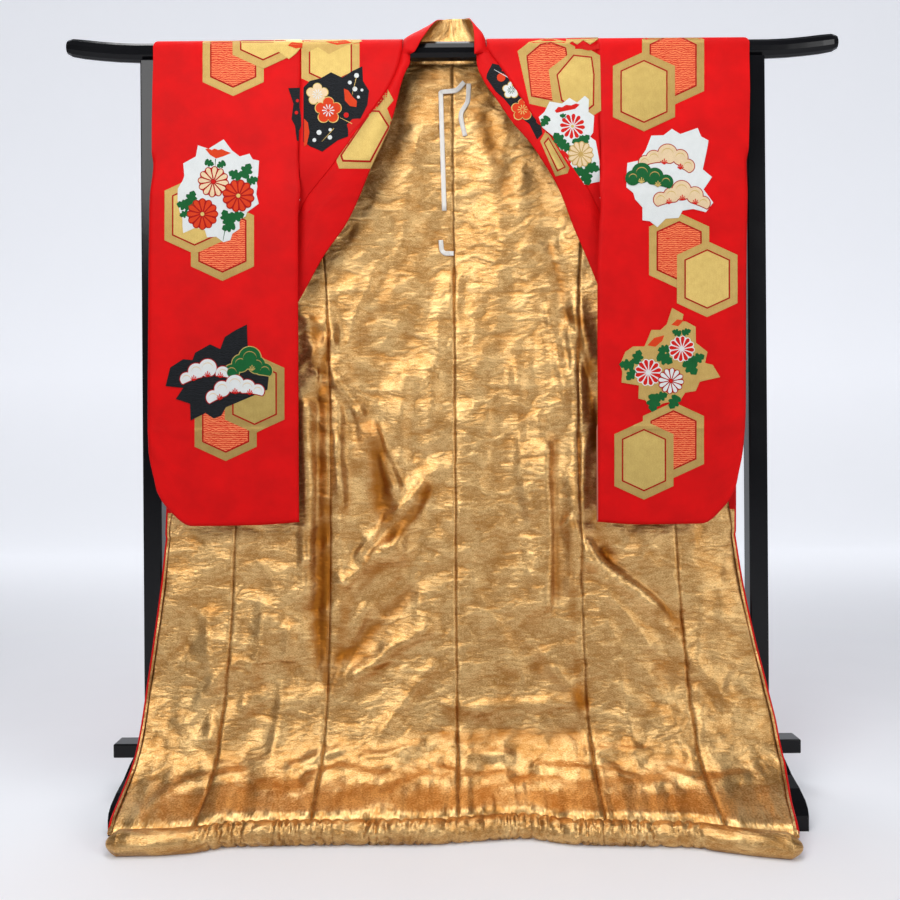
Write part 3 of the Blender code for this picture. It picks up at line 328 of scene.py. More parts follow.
# Where the lining lies in shade: bands of painted orange-brown shade, in the same form as the folds
SHADES = (
    (-0.300, 1.02, -0.300, 0.92, 0.016, 0.9), (-0.292, 0.86, -0.292, 0.28, 0.016, 0.95),
    (-0.182, 0.79, -0.160, 0.58, 0.022, 0.75), (-0.205, 0.76, -0.240, 0.60, 0.014, 0.6),
    (-0.065, 0.66, -0.130, 0.55, 0.014, 0.7), (-0.150, 0.49, -0.240, 0.42, 0.014, 0.6),
    (-0.072, 0.45, -0.236, 0.30, 0.020, 0.75), (-0.235, 0.40, -0.262, 0.22, 0.014, 0.6),
    (0.275, 1.02, 0.300, 0.92, 0.014, 0.9), (0.284, 0.92, 0.305, 0.75, 0.016, 0.9),
    (0.222, 0.76, 0.216, 0.42, 0.014, 0.8), (0.212, 1.18, 0.250, 1.03, 0.014, 0.8),
    (0.292, 0.59, 0.322, 0.50, 0.016, 0.7), (0.322, 0.50, 0.472, 0.37, 0.016, 0.7),
    (-0.030, 0.150, 0.245, 0.140, 0.016, 0.8), (0.160, 0.27, 0.260, 0.20, 0.016, 0.6),
    (-0.120, 1.12, -0.200, 0.98, 0.020, 0.5), (0.110, 0.98, 0.150, 0.80, 0.020, 0.4),
    (-0.500, 0.30, -0.400, 0.24, 0.020, 0.5), (0.420, 0.28, 0.540, 0.22, 0.020, 0.5),
    (-0.277, 0.98, -0.277, 0.25, 0.010, 0.9), (-0.165, 0.760, -0.144, 0.590, 0.014, 0.8),
    (-0.060, 0.640, -0.195, 0.495, 0.010, 0.8), (-0.060, 1.56, 0.050, 1.56, 0.030, 0.8),
    (0.045, 1.50, 0.120, 1.30, 0.022, 0.7),
    (-0.090, 1.48, -0.150, 1.32, 0.022, 0.6), (0.245, 0.60, 0.250, 0.18, 0.012, 0.6),
)
# (cell, height of the crumple) of the lining's uneven surface, coarse to fine
CRUMPLES = ((0.110, 0.0034), (0.052, 0.0020), (0.024, 0.0009))
# (size, turns) of the waves that make the hem's gathers uneven
GATHER_SWAYS = ((0.014, 9), (0.008, 31), (0.004, 73))
GATHER_FADE = 0.03  # over this much of the hem line the gathers set in
# Cut of what shows of each panel: width, length and area, in metres and square metres
CUTS = {"back": (0.33, 1.72, 0.49), "front": (0.48, 1.66, 0.33), "okumi": (0.25, 1.06, 0.20)}


# --- numbers ---------------------------------------------------------------------------------------


def glide(keys: Array, levels: Array, value: Array) -> Array:
    """Read levels at `value` along a cubic that never overshoots.

    Each inner slope is the harmonic mean of its neighbours' slopes, or zero at a turning point.

    Args:
        keys: Rising keys, (n,).
        levels: Values at the keys, (n,) or (n, k).
        value: Where to read, any shape.

    Returns:
        The values, shaped as `value` with the trailing shape of `levels`.
    """
    keys, levels = np.asarray(keys, float), np.asarray(levels, float)
    value = np.clip(np.asarray(value, float), keys[0], keys[-1])
    tail = (1,) * (levels.ndim - 1)
    step = np.diff(keys).reshape(-1, *tail)
    rise = np.diff(levels, axis=0) / step
    product = rise[:-1] * rise[1:]
    total = np.where(product > 0, rise[:-1] + rise[1:], 1.0)
    inner = np.where(product > 0, 2 * product / total, 0.0)
    slope = np.concatenate([rise[:1], inner, rise[-1:]])
    index = np.clip(np.searchsorted(keys, value, side="right") - 1, 0, len(keys) - 2)
    span = step[index]
    t = ((value - keys[index]) / np.diff(keys)[index]).reshape(*value.shape, *tail)
    return (
        levels[index] * (1 + 2 * t) * (1 - t) ** 2
        + levels[index + 1] * t * t * (3 - 2 * t)
        + span * (slope[index] * t * (1 - t) ** 2 - slope[index + 1] * t * t * (1 - t))
    )


def read(table: Table, value: Array) -> Array:
    """Smooth reading of a table of (key, level) rows."""
    rows = np.array(table)
    return glide(rows[:, 0], rows[:, 1], value)


def soft(value: Array) -> Array:
    """Smooth step of a value clipped to 0..1."""
    value = np.clip(value, 0.0, 1.0)
    return value * value * (3 - 2 * value)


def eased(value: Array, ease: tuple[float, float]) -> Array:
    """Smooth step from 0 at the first number of `ease` to 1 once the second has been added."""
    return soft((value - ease[0]) / ease[1])


def lattice(across: Array, height: Array, cell: float, seed: int) -> Array:
    """Smooth uneven values in 0..1: random numbers on a square lattice, blended between its knots."""
    table = np.random.default_rng(seed).random((97, 97))
    x, z = across / cell + 31.7, height / cell + 17.3
    i, k = np.floor(x).astype(int), np.floor(z).astype(int)
    u, v = soft(x - i), soft(z - k)
    i, k = i % 96, k % 96
    low = table[i, k] * (1 - u) + table[i + 1, k] * u
    high = table[i, k + 1] * (1 - u) + table[i + 1, k + 1] * u
    return low * (1 - v) + high * v


def ridged(across: Array, height: Array, cell: float, seed: int) -> Array:
    """Uneven values in 0..1 with sharp ridges, on a lattice that is itself bent by another."""
    bend = cell * 0.9
    x = across + bend * (lattice(across, height, cell * 1.7, seed + 1) - 0.5)
    z = height * 0.62 + bend * (lattice(across, height, cell * 1.7, seed + 2) - 0.5)
    return (1 - np.abs(2 * lattice(x, z, cell, seed) - 1)) ** 1.6


def fold_rise(folds: Sequence[tuple[float, ...]], across: Array, height: Array) -> Array:
    """Sum of soft ridges and troughs, each falling off as a bell from its line."""
    rise = np.zeros(np.broadcast(across, height).shape)
    for x0, z0, x1, z1, width, lift in folds:
        run = np.array([x1 - x0, z1 - z0])
        along = np.clip(((across - x0) * run[0] + (height - z0) * run[1]) / (run @ run), 0.0, 1.0)
        away = np.hypot(across - x0 - along * run[0], height - z0 - along * run[1])
        rise = rise + lift * np.exp(-((away / width) ** 2))
    return rise


def world(place: Array) -> Array:
    """Metres in the frame from (across, depth in front of the post plane, height)."""
    return np.stack([place[..., 0], POST_PLANE - place[..., 1], place[..., 2]], axis=-1)


def facing(grid: Array) -> Array:
    """Unit normals of a grid of points (rows, columns, 3), along its columns' way × its rows' way."""
    normal = np.cross(np.gradient(grid, axis=1), np.gradient(grid, axis=0))
    return normal / np.maximum(np.linalg.norm(normal, axis=-1, keepdims=True), 1e-12)


# --- meshes ----------------------------------------------------------------------------------------


def mesh_object(name: str, points: Array, faces: list[Array], uv: Array | None = None) -> bpy.types.Object:
    """Make a mesh object at the origin from whole arrays.

    Args:
        name: Name of the piece.
        points: Vertices, (n, 3), metres.
        faces: Arrays of corner numbers, (m, 3) or (m, 4) each; their faces come one array after another.
        uv: Cloth coordinates of the vertices, (n, 2).

    Returns:
        The linked object.
    """
    mesh = bpy.data.meshes.new(name)
    mesh.from_pydata(points.tolist(), [], [face for part in faces for face in part.tolist()])
    if uv is not None:
        layer = mesh.uv_layers.new(name="cloth")
        corner = np.empty(len(mesh.loops), np.int32)
        mesh.loops.foreach_get("vertex_index", corner)
        layer.data.foreach_set("uv", uv[corner].astype(np.float32).ravel())
    mesh.shade_smooth()
    made = bpy.data.objects.new(name, mesh)
    bpy.context.scene.collection.objects.link(made)
    return made


def paint(
    piece: bpy.types.Object, materials: Sequence[bpy.types.Material], numbers: Array | None = None
) -> None:
    """Give a piece its materials, and its faces their numbers."""
    for material in materials:
        piece.data.materials.append(material)
    if numbers is not None:
        piece.data.polygons.foreach_set("material_index", numbers.astype(np.int32))


def grid_quads(rows: int, columns: int, keep: Array | None = None) -> Array:
    """Corner numbers of a grid's quads, (m, 4), facing along columns × rows."""
    number = np.arange(rows * columns).reshape(rows, columns)
    quads = np.stack([number[:-1, :-1], number[:-1, 1:], number[1:, 1:], number[1:, :-1]], axis=-1)
    return quads[keep] if keep is not None else quads.reshape(-1, 4)


def rims(quads: Array) -> Array:
    """Directed edges that one face only uses."""
    corners = quads.shape[1]
    edges = np.concatenate([quads[:, [k, (k + 1) % corners]] for k in range(corners)])
    edges = edges[edges[:, 0] != edges[:, 1]]
    _, first, count = np.unique(np.sort(edges, axis=1), axis=0, return_index=True, return_counts=True)
    return edges[first[count == 1]]


def shell(name: str, face: Array, behind: Array, quads: Array, uv: Array) -> tuple[bpy.types.Object, Array]:
    """A closed thin wall between two skins.

    Args:
        name: Name of the piece.
        face: Points of the skin that the quads face out of, (n, 3).
        behind: Points of the skin behind it, (n, 3).
        quads: Corner numbers, (m, 4).
        uv: Cloth coordinates of the points, (n, 2).

    Returns:
        The object, and for each face 0 on the first skin, 1 on the one behind, 2 on the rim.
    """
    used, flat = np.unique(quads, return_inverse=True)
    quads = flat.reshape(quads.shape)
    count = len(used)
    edges = rims(quads)
    rim = np.stack([edges[:, 1], edges[:, 0], edges[:, 0] + count, edges[:, 1] + count], axis=-1)
    points = np.concatenate([face[used], behind[used]])
    parts = [quads, quads[:, ::-1] + count, rim]
    made = mesh_object(name, points, parts, np.concatenate([uv[used], uv[used]]))
    kinds = np.repeat([0, 1, 2], [len(part) for part in parts])
    made.data.polygons.foreach_set("use_smooth", kinds < 2)
    return made, kinds


def wall(
    name: str, middle: Array, half: Array, quads: Array, uv: Array
) -> tuple[bpy.types.Object, Array]:
    """A shell half a thickness to each side of a grid's middle surface."""
    skins = ((middle + sign * half).reshape(-1, 3) for sign in (1, -1))
    return shell(name, *skins, quads, uv.reshape(-1, 2))


def toned(piece: bpy.types.Object, tone: Array) -> None:
    """Store the painted shade, with its seam lines, of a shell's points, the same on both of its skins."""
    values = np.concatenate([tone, tone])
    piece.data.attributes.new(SHADE_ATTRIBUTE, "FLOAT", "POINT").data.foreach_set("value", values.astype(np.float32))


def mirrored(side: Side, points: Array) -> Array:
    """Points of the viewer's right, turned to this side."""
    return points * np.array([side.value, 1.0, 1.0])


def turned(side: Side, quads: Array) -> Array:
    """Quads that still face outwards once their points are mirrored to this side."""
    return quads[:, ::-1] if side is Side.LEFT else quads


# --- materials -------------------------------------------------------------------------------------


class Signal:
    """One output socket of a shader's node tree, with arithmetic that adds Math nodes."""

    def __init__(self, tree: ShaderTree, socket: bpy.types.NodeSocket) -> None:
        self.tree, self.socket = tree, socket

    def _math(self, operation: str, *values: Signal | float) -> Signal:
        """Math node of this operation on the values."""
        return self.tree.node("ShaderNodeMath", {"operation": operation}, dict(enumerate(values)))

    def __add__(self, other: Signal | float) -> Signal:
        return self._math("ADD", self, other)

    def __radd__(self, other: float) -> Signal:
        return self._math("ADD", other, self)

    def __rsub__(self, other: float) -> Signal:
        return self._math("SUBTRACT", other, self)

    def __mul__(self, other: Signal | float) -> Signal:
        return self._math("MULTIPLY", self, other)

    def __rmul__(self, other: float) -> Signal:
        return self._math("MULTIPLY", other, self)

    def __abs__(self) -> Signal:
        return self._math("ABSOLUTE", self)

    def ramp(self, low: float, high: float) -> Signal:
        """Smooth step from 0 at `low` to 1 at `high`."""
        settings = {"interpolation_type": "SMOOTHSTEP"}
        inputs = {0: self, 1: low, 2: high, 3: 0.0, 4: 1.0}
        return self.tree.node("ShaderNodeMapRange", settings, inputs)


Colour = tuple[float, float, float]


class ShaderTree:
    """Builds the node tree of one material."""

    def __init__(self, name: str) -> None:
        self.material = bpy.data.materials.new(name)
        self.material.use_nodes = True
        self.nodes, self.links = self.material.node_tree.nodes, self.material.node_tree.links
        self.shader = self.nodes["Principled BSDF"]

    def node(self, kind: str, settings: dict, inputs: dict, output: int | str = 0) -> Signal:
        """Add a node.

        Args:
            kind: Blender's node type.
            settings: Properties to set on it.
            inputs: Values or signals by the number or name of the socket.
            output: Number or name of the socket to return.

        Returns:
            The chosen output.
        """
        made = self.nodes.new(kind)
        for key, value in settings.items():
            setattr(made, key, value)
        for key, value in inputs.items():
            self.feed(made.inputs[key], value)
        return Signal(self, made.outputs[output])

    def feed(self, socket: bpy.types.NodeSocket, value: Signal | float | Colour) -> None:
        """Link a signal to a socket, or set its value."""
        if isinstance(value, Signal):
            self.links.new(value.socket, socket)
        elif isinstance(value, tuple) and socket.type == "RGBA":
            socket.default_value = (*value, 1.0)
        else:
            socket.default_value = value

    def coordinate(self, name: str) -> Signal:
        """Object coordinates, or the UV map of the cloth."""
        if name == "UV":
            return self.node("ShaderNodeUVMap", {"uv_map": "cloth"}, {})
        return self.node("ShaderNodeTexCoord", {}, {}, "Object")

    def scaled(self, vector: Signal, scale: Colour) -> Signal:
        """Vector multiplied part by part."""
        return self.node("ShaderNodeVectorMath", {"operation": "MULTIPLY"}, {0: vector, 1: scale})

    def noise(
        self, vector: Signal, scale: float, detail: float = 3.0, rough: float = 0.55, warp: float = 0.0
    ) -> Signal:
        """Noise in 0..1 at this many cells a metre."""
        inputs = {"Vector": vector, "Scale": scale, "Detail": detail, "Roughness": rough, "Distortion": warp}
        return self.node("ShaderNodeTexNoise", {}, inputs)

    def wave(self, vector: Signal, scale: float, way: str, warp: float = 0.0, grain: float = 2.0) -> Signal:
        """Fine parallel threads across this way."""
        settings = {"wave_type": "BANDS", "bands_direction": way}
        inputs = {"Vector": vector, "Scale": scale, "Distortion": warp, "Detail": 2.0, "Detail Scale": grain}
        return self.node("ShaderNodeTexWave", settings, inputs, "Fac")

    def mix(self, share: Signal | float, low: Signal | Colour, high: Signal | Colour) -> Signal:
        """Colour from `low` at 0 to `high` at 1."""
        made = self.nodes.new("ShaderNodeMix")
        made.data_type = "RGBA"
        for number, value in ((0, share), (6, low), (7, high)):
            self.feed(made.inputs[number], value)
        return Signal(self, made.outputs[2])

    def bump(
        self, height: Signal, distance: float, strength: float = 1.0, after: Signal | None = None
    ) -> Signal:
        """Normal bent by a height in 0..1 that stands for this many metres."""
        inputs = {"Height": height, "Distance": distance, "Strength": strength}
        if after:
            inputs["Normal"] = after
        return self.node("ShaderNodeBump", {}, inputs)

    def set(self, **values: Signal | float | Colour) -> None:
        """Feed sockets of the surface shader, their names written with underscores."""
        for name, value in values.items():
            self.feed(self.shader.inputs[name.replace("_", " ")], value)


@dataclass(frozen=True)
class Lacquer:
    """Black lacquer with a soft unevenness in its gloss."""

    colour: Colour = (0.0022, 0.0022, 0.003)
    sheen: Colour = (0.004, 0.004, 0.005)
    roughness: tuple[float, float] = (0.13, 0.24)
    specular: float = 0.22

    PATCHES, GRAIN = 9.0, 60.0  # cells a metre
    BUMP = (0.0002, 0.4)  # metres and strength

    def material(self, name: str) -> bpy.types.Material:
        """Material of this finish."""
        tree = ShaderTree(name)
        place = tree.coordinate("Object")
        patchy = tree.noise(place, self.PATCHES)
        low, high = self.roughness
        tree.set(
            Base_Color=tree.mix(patchy, self.colour, self.sheen),
            Roughness=low + (high - low) * patchy,
            Normal=tree.bump(tree.noise(place, self.GRAIN), *self.BUMP),
        )
        tree.shader.inputs["Specular IOR Level"].default_value = self.specular
        return tree.material


@dataclass(frozen=True)
class Brocade:
    """Red woven silk: a fine figured weave with a quiet sheen."""

    shade: Colour = (0.47, 0.0006, 0.0010)
    light: Colour = (0.66, 0.0012, 0.0020)
    thread: float = 0.0011
    specular: float = 0.12

    WARP = 1.3  # threads across against threads along
    PATCHES, SWELLS = (14.0, 4.0), (26.0, 3.0)  # cells a metre and detail
    SWELL_BUMP, WEAVE_BUMP = (0.0012, 0.5), (0.00012, 0.6)  # metres and strength
    ROUGHNESS = (0.56, 0.14)  # base, by patches

    def material(self, name: str) -> bpy.types.Material:
        """Material of this finish."""
        tree = ShaderTree(name)
        cloth = tree.coordinate("UV")
        turns = 1.0 / self.thread / math.tau * 2.0
        weft = tree.wave(cloth, turns, "Y", 1.2)
        warp = tree.wave(cloth, turns * self.WARP, "X", 1.2)
        weave = weft * 0.6 + warp * 0.4
        patchy = tree.noise(cloth, *self.PATCHES)
        base, by_patches = self.ROUGHNESS
        tree.set(
            Base_Color=tree.mix((patchy * 0.7 + weave * 0.3).ramp(0.25, 0.75), self.shade, self.light),
            Roughness=base + by_patches * patchy,
            Normal=tree.bump(
                tree.noise(cloth, *self.SWELLS), *self.SWELL_BUMP, tree.bump(weave, *self.WEAVE_BUMP),
            ),
        )
        tree.shader.inputs["Specular IOR Level"].default_value = self.specular
        return tree.material


@dataclass(frozen=True)
class Lame:
    """Crinkled gold lamé of metal threads, with painted orange-brown shade in its folds and painted
    highlights on its raised crinkles.
    """

    # Painted shade colour of the folds, the lamé's plain colour, and a painted highlight colour
    deep: Colour = (0.34, 0.115, 0.010)
    middle: Colour = (0.44, 0.205, 0.050)
    bright: Colour = (0.82, 0.545, 0.235)
    metallic: float = 0.90

    # Sweep, wrinkle, crinkle and grain: stretch, cells a metre, detail, roughness, distortion
    NOISES = (
        ((1.1, 0.8, 1.0), 6.0, 2.0, 0.40, 0.5), ((0.8, 1.5, 1.0), 20.0, 2.0, 0.4, 0.6),
        ((1.0, 2.6, 1.0), 60.0, 2.0, 0.5), ((1.0, 3.0, 1.0), 260.0, 2.0, 0.55),
    )
    BUMPS = ((0.042, 0.9), (0.0085, 0.8), (0.0020, 0.7), (0.0006, 0.9))  # metres and strength
    THREADS, THREAD_BUMP = 300.0, (0.0001, 0.4)
    ROUGHNESS = (0.26, 0.14, 0.10)  # base, by grain, by painted shade

    def material(self, name: str) -> bpy.types.Material:
        """Material of this finish."""
        tree = ShaderTree(name)
        cloth = tree.coordinate("UV")
        tone = tree.node("ShaderNodeAttribute", {"attribute_name": SHADE_ATTRIBUTE}, {}, "Fac")
        heights = [tree.noise(tree.scaled(cloth, stretch), *rest) for stretch, *rest in self.NOISES]
        sweep, wrinkle, crinkle, grain = heights
        thread = tree.wave(cloth, self.THREADS, "X", 1.0)
        # Painted highlight where the grain, crinkle and wrinkle bumps stand high; painted orange-brown shade
        # in the folds, on a darker line along the seams, and where the sweep and wrinkle bumps lie low
        shade = (grain * 0.45 + crinkle * 0.25 + wrinkle * 0.30).ramp(0.38, 0.66)
        shade_share = (tone * 0.8 + (0.50 - sweep) * 1.1 + (0.5 - wrinkle) * 0.6).ramp(0.05, 0.95)
        bent = None
        for height, (distance, strength) in zip(heights, self.BUMPS):
            bent = tree.bump(height, distance, strength, bent)
        base, by_grain, by_painted_shade = self.ROUGHNESS
        tree.set(
            Base_Color=tree.mix(shade_share, tree.mix(shade, self.middle, self.bright), self.deep),
            Roughness=base + by_grain * grain + by_painted_shade * tone,
            Normal=tree.bump(thread, *self.THREAD_BUMP, bent),
        )
        tree.shader.inputs["Metallic"].default_value = self.metallic
        return tree.material


@dataclass(frozen=True)
class Threadwork:
    """Flat woven or embroidered colour: threads one way, two close shades, and some metal."""

    shade: Colour
    light: Colour
    roughness: float = 0.55
    metallic: float = 0.0
    thread: float = 0.0016
    way: str = "X"
    waviness: float = 2.0
    specular: float = 0.12

    PATCHES, BUMP, ROUGHER = 70.0, (0.00025, 0.7), 0.12

    def material(self, name: str) -> bpy.types.Material:
        """Material of this finish."""
        tree = ShaderTree(name)
        place = tree.coordinate("Object")
        threads = tree.wave(place, 1.0 / self.thread / math.tau * 2.0, self.way, self.waviness)
        patchy = tree.noise(place, self.PATCHES)
        tree.set(
            Base_Color=tree.mix((threads * 0.6 + patchy * 0.4).ramp(0.3, 0.7), self.shade, self.light),
            Roughness=self.roughness + self.ROUGHER * patchy,
            Normal=tree.bump(threads, *self.BUMP),
        )
        tree.shader.inputs["Metallic"].default_value = self.metallic
        tree.shader.inputs["Specular IOR Level"].default_value = self.specular
        return tree.material


@dataclass(frozen=True)
class CottonTape:
    """White twill tape."""

    shade: Colour = (0.62, 0.58, 0.52)
    light: Colour = (0.86, 0.84, 0.80)

    TWILL, WORN, BUMP = 420.0, 60.0, (0.0003, 0.6)
    ROUGHNESS = (0.68, 0.14)  # base, by wear

    def material(self, name: str) -> bpy.types.Material:
        """Material of this finish."""
        tree = ShaderTree(name)
        cloth = tree.coordinate("UV")
        twill = tree.wave(cloth, self.TWILL, "DIAGONAL", 0.6)
        worn = tree.noise(cloth, self.WORN)
        base, by_wear = self.ROUGHNESS
        tree.set(
            Base_Color=tree.mix(worn * 0.6 + twill * 0.4, self.shade, self.light),
            Roughness=base + by_wear * worn,
            Normal=tree.bump(twill, *self.BUMP),
        )
        return tree.material


class Thread(Enum):
    """Colours of the woven motifs."""

    GOLD = Threadwork((0.30, 0.175, 0.045), (0.56, 0.39, 0.13), 0.36, 0.6)
    GOLD_PALE = Threadwork((0.36, 0.235, 0.055), (0.68, 0.50, 0.17), 0.32, 0.6)
    LINE = Threadwork((0.26, 0.002, 0.002), (0.40, 0.004, 0.004), 0.55)
    RED_WAVE = Threadwork((0.52, 0.022, 0.008), (0.74, 0.20, 0.08), 0.5, 0.1, 0.0042, "Z", 5.0)
    ORANGE = Threadwork((0.50, 0.022, 0.004), (0.66, 0.060, 0.010), 0.55)
    RED = Threadwork((0.44, 0.004, 0.003), (0.62, 0.012, 0.007), 0.55)
    WHITE = Threadwork((0.52, 0.54, 0.53), (0.72, 0.74, 0.73), 0.55, 0.0, 0.0012)
    BEIGE = Threadwork((0.50, 0.35, 0.20), (0.78, 0.62, 0.40), 0.45, 0.2)
    GREEN = Threadwork((0.003, 0.060, 0.014), (0.008, 0.13, 0.032), 0.55)
    BLACK = Threadwork((0.003, 0.0035, 0.0045), (0.014, 0.016, 0.019), 0.65, 0.0, 0.0030, "Z", 6.0)
    SALMON = Threadwork((0.42, 0.15, 0.09), (0.58, 0.27, 0.18), 0.65)


# --- cloths ----------------------------------------------------------------------------------------


def hem_share(height: Array) -> Array:
    """1 at the hem, falling off with height: how far the cloth has come forward to the hem line."""
    over = np.maximum(height - HEM_HEIGHT, 0.0)
    return np.clip(1.0 - over / HEM_FADE, 0.0, 1.0) / (1.0 + (over / HEM_REACH) ** HEM_POWER)


def hung(across: Array, height: Array, plain: Array) -> Array:
    """Depth of a hanging panel that runs forward to the hem line: plain + (hem line − plain) · share."""
    return plain + (read(HEM_LINE, across) - HEM_SETBACK - plain) * hem_share(height)


def wrapped(run: Array, depth: Array) -> tuple[Array, Array]:
    """Depth and height of a cloth by its run: up to the beam's axis, then round the beam's front.

    Args:
        run: Height up to the beam's axis, and beyond it the axis plus the length round the beam.
        depth: Depth of the hanging cloth at this run.

    Returns:
        Depth and height.
    """
    turn = np.maximum(run - BEAM_AXIS, 0.0) / WRAP_RADIUS
    over = run > BEAM_AXIS
    return (
        np.where(over, WRAP_RADIUS * np.cos(turn), depth),
        np.where(over, BEAM_AXIS + WRAP_RADIUS * np.sin(turn), run),
    )


def gather(across: Array) -> tuple[Array, Array]:
    """Bulges of the hem's uneven gathers in 0..1, and the share that is gathered at all."""
    share = np.clip((across - GATHERED[0]) / (GATHERED[1] - GATHERED[0]), 0, 1)
    phase = math.pi * GATHERS * sum((size * np.sin(turns * share) for size, turns in GATHER_SWAYS), share)
    gathered = soft((across - GATHERED[0]) / GATHER_FADE) * soft((GATHERED[1] - across) / GATHER_FADE)
    return np.abs(np.sin(phase)) ** 0.7 * gathered, gathered


@dataclass
class Panel:
    """One panel of the body, and which quads of the half's grid it takes by row and column."""

    name: str
    keep: Callable[[Array, Array], Array]


@dataclass
class BodyHalf:
    """Back, front and okumi of one side, each a red outer shell with a gold lining on its inside."""

    side: Side
    brocade: bpy.types.Material
    lame: bpy.types.Material
    pieces: list[bpy.types.Object] = field(default_factory=list)

    STEP = 0.0075
    BACK, LEG, OKUMI, TURN, RETURN = 44, 72, 92, 101, 124  # last column of each stretch
    HEM_ROWS = (HEM_HEIGHT, 0.047, 0.052, 0.058)
    TUCK_ROWS = (0.0605, 0.124, 26)  # from, to, how many: close rows for the tucks over the roll
    BODY_FROM = 0.1295
    FREE_BELOW = 0.56  # under this height the front edge hangs free and rolls
    # A height from which something eases in, and the stretch over which it does
    ROLL_TO_TURN, RETURN_EASE, AT_TURN = (0.66, 0.08), (1.10, 0.08), (1.20, 0.06)
    RETURN_FROM = 1.15  # from this height the turned-back front lies on its own depths
    CLEAR = 0.0001  # between a wall and the face of its solid
    FOLDS_END, CREASES_END = (1.20, 0.05), (1.52, 0.05)  # where the lining runs smooth again
    PUCKER, PUCKER_HEIGHT = 0.0034, 0.028  # rise of the tucks at the hem, and how high they reach
    CALM, CALM_REACH, CALM_FROM = 0.9, 0.06, (1.10, 0.06)  # the upper back's middle lies calmer
    BEND, SWAY = 0.013, 0.024  # how far the creases stray from their straight lines
    # Darker line painted along the seams; how much flatter the seams lie; and painted shade that makes the
    # crumples' bulges lighter and their dips darker
    SEAM_TONE, SEAM_FLAT, CRUMPLE_TONE = 0.25, 0.45, 0.35

    def rows(self) -> Array:
        """Runs of the rows, from the hem up and over the front of the beam."""
        body = np.linspace(self.BODY_FROM, OKUMI_TOP, int(0.91 / self.STEP))
        upper = np.linspace(OKUMI_TOP, SIDE_OPENING, int(0.23 / self.STEP))[1:]
        chest = np.linspace(SIDE_OPENING, NECK_ROW, int(0.318 / self.STEP))[1:]
        over = np.linspace(NECK_ROW, BEAM_AXIS + WRAP_RADIUS * math.radians(89.5), 12)[1:]
        return np.concatenate([self.HEM_ROWS, np.linspace(*self.TUCK_ROWS), body, upper, chest, over])

    def profile(self, run: Array) -> tuple[Array, Array, Array]:
        """Across, plain depth and lift of every column at these runs, (rows, columns).

        The back bows from its centre to the side seam with the square of the distance. The front leg
        eases forward from the side seam, turns back round a small radius behind the sleeve, and
        returns to the collar seam or to the rolled front edge.
        """
        side = self.side
        height = np.minimum(run, BEAM_AXIS)[:, None]
        seam = read(ARMHOLE_TO_SIDE_SEAM[side], height)
        centre, seam_depth = read(BACK_CENTRE_DEPTH, height), read(SIDE_SEAM_DEPTH, height)
        front_depth = read(FRONT_DEPTH, height)
        share = np.linspace(0, 1, self.BACK + 1)[None]
        back = (share * seam, centre + (seam_depth - centre) * share**2, 0 * share * seam)

        high = height > SIDE_OPENING
        radius = EDGE_ROLL_RADIUS + (TURN_RADIUS - EDGE_ROLL_RADIUS) * eased(height, self.ROLL_TO_TURN)
        free = read(FRONT_EDGE[side], height)
        edge = np.where(height > COLLAR_LOWEST, read(COLLAR_SEAM[side], height), free)
        reach = np.where(height > self.FREE_BELOW, read(TURN_REACH[side], height), free + EDGE_ROLL_RADIUS)
        rise = (height - SIDE_OPENING) / (ARMHOLE - SIDE_OPENING)
        close = soft(np.clip(rise, 0, 1))
        radius = radius * (1 - close)
        reach = reach + (SHOULDER[side] - reach) * close
        edge = np.where(height < COLLAR_LOWEST + 0.08, np.minimum(edge, reach - EDGE_ROLL_LENGTH), edge)
        start = reach - radius
        okumi = np.minimum(read(OKUMI_SEAM, height), seam + 0.7 * (start - seam))
        leg_share = np.linspace(0, 1, self.LEG - self.BACK + 1)[None, 1:]
        okumi_share = np.linspace(0, 1, self.OKUMI - self.LEG + 1)[None, 1:]
        leg = [seam + leg_share * (okumi - seam), okumi + okumi_share * (start - okumi)]
        leg = np.concatenate(leg, axis=1)
        ease = soft((leg - seam) / 0.10)
        leg_depth = seam_depth + (front_depth - seam_depth) * ease

        angle = np.radians(np.linspace(-90, 90, self.TURN - self.OKUMI + 1))[None, 1:]
        arc = start + radius * np.cos(angle)
        arc_lift = radius * (1 + np.sin(angle))
        way = np.linspace(0, 1, self.RETURN - self.TURN + 1)[None, 1:]
        back_leg = start + way * (edge - start)
        own = height >= self.RETURN_FROM
        behind = np.where(own, read(RETURN_DEPTH, height), front_depth + 2 * radius)
        behind = behind + (front_depth + 2 * radius - behind) * (1 - eased(height, self.RETURN_EASE)) * own
        at_turn = np.where(high, 1.0, eased(height, self.AT_TURN))
        swing = (behind - 2 * radius - front_depth) * at_turn
        arc_depth = front_depth + swing * angle.clip(0) / (math.pi / 2)
        return (
            np.concatenate([back[0], leg, arc, back_leg], axis=1),
            np.concatenate([back[1], leg_depth, arc_depth + 0 * arc, behind - 2 * radius + 0 * way], axis=1),
            np.concatenate([back[2], 0 * leg, arc_lift, 2 * radius + 0 * way], axis=1),
        )

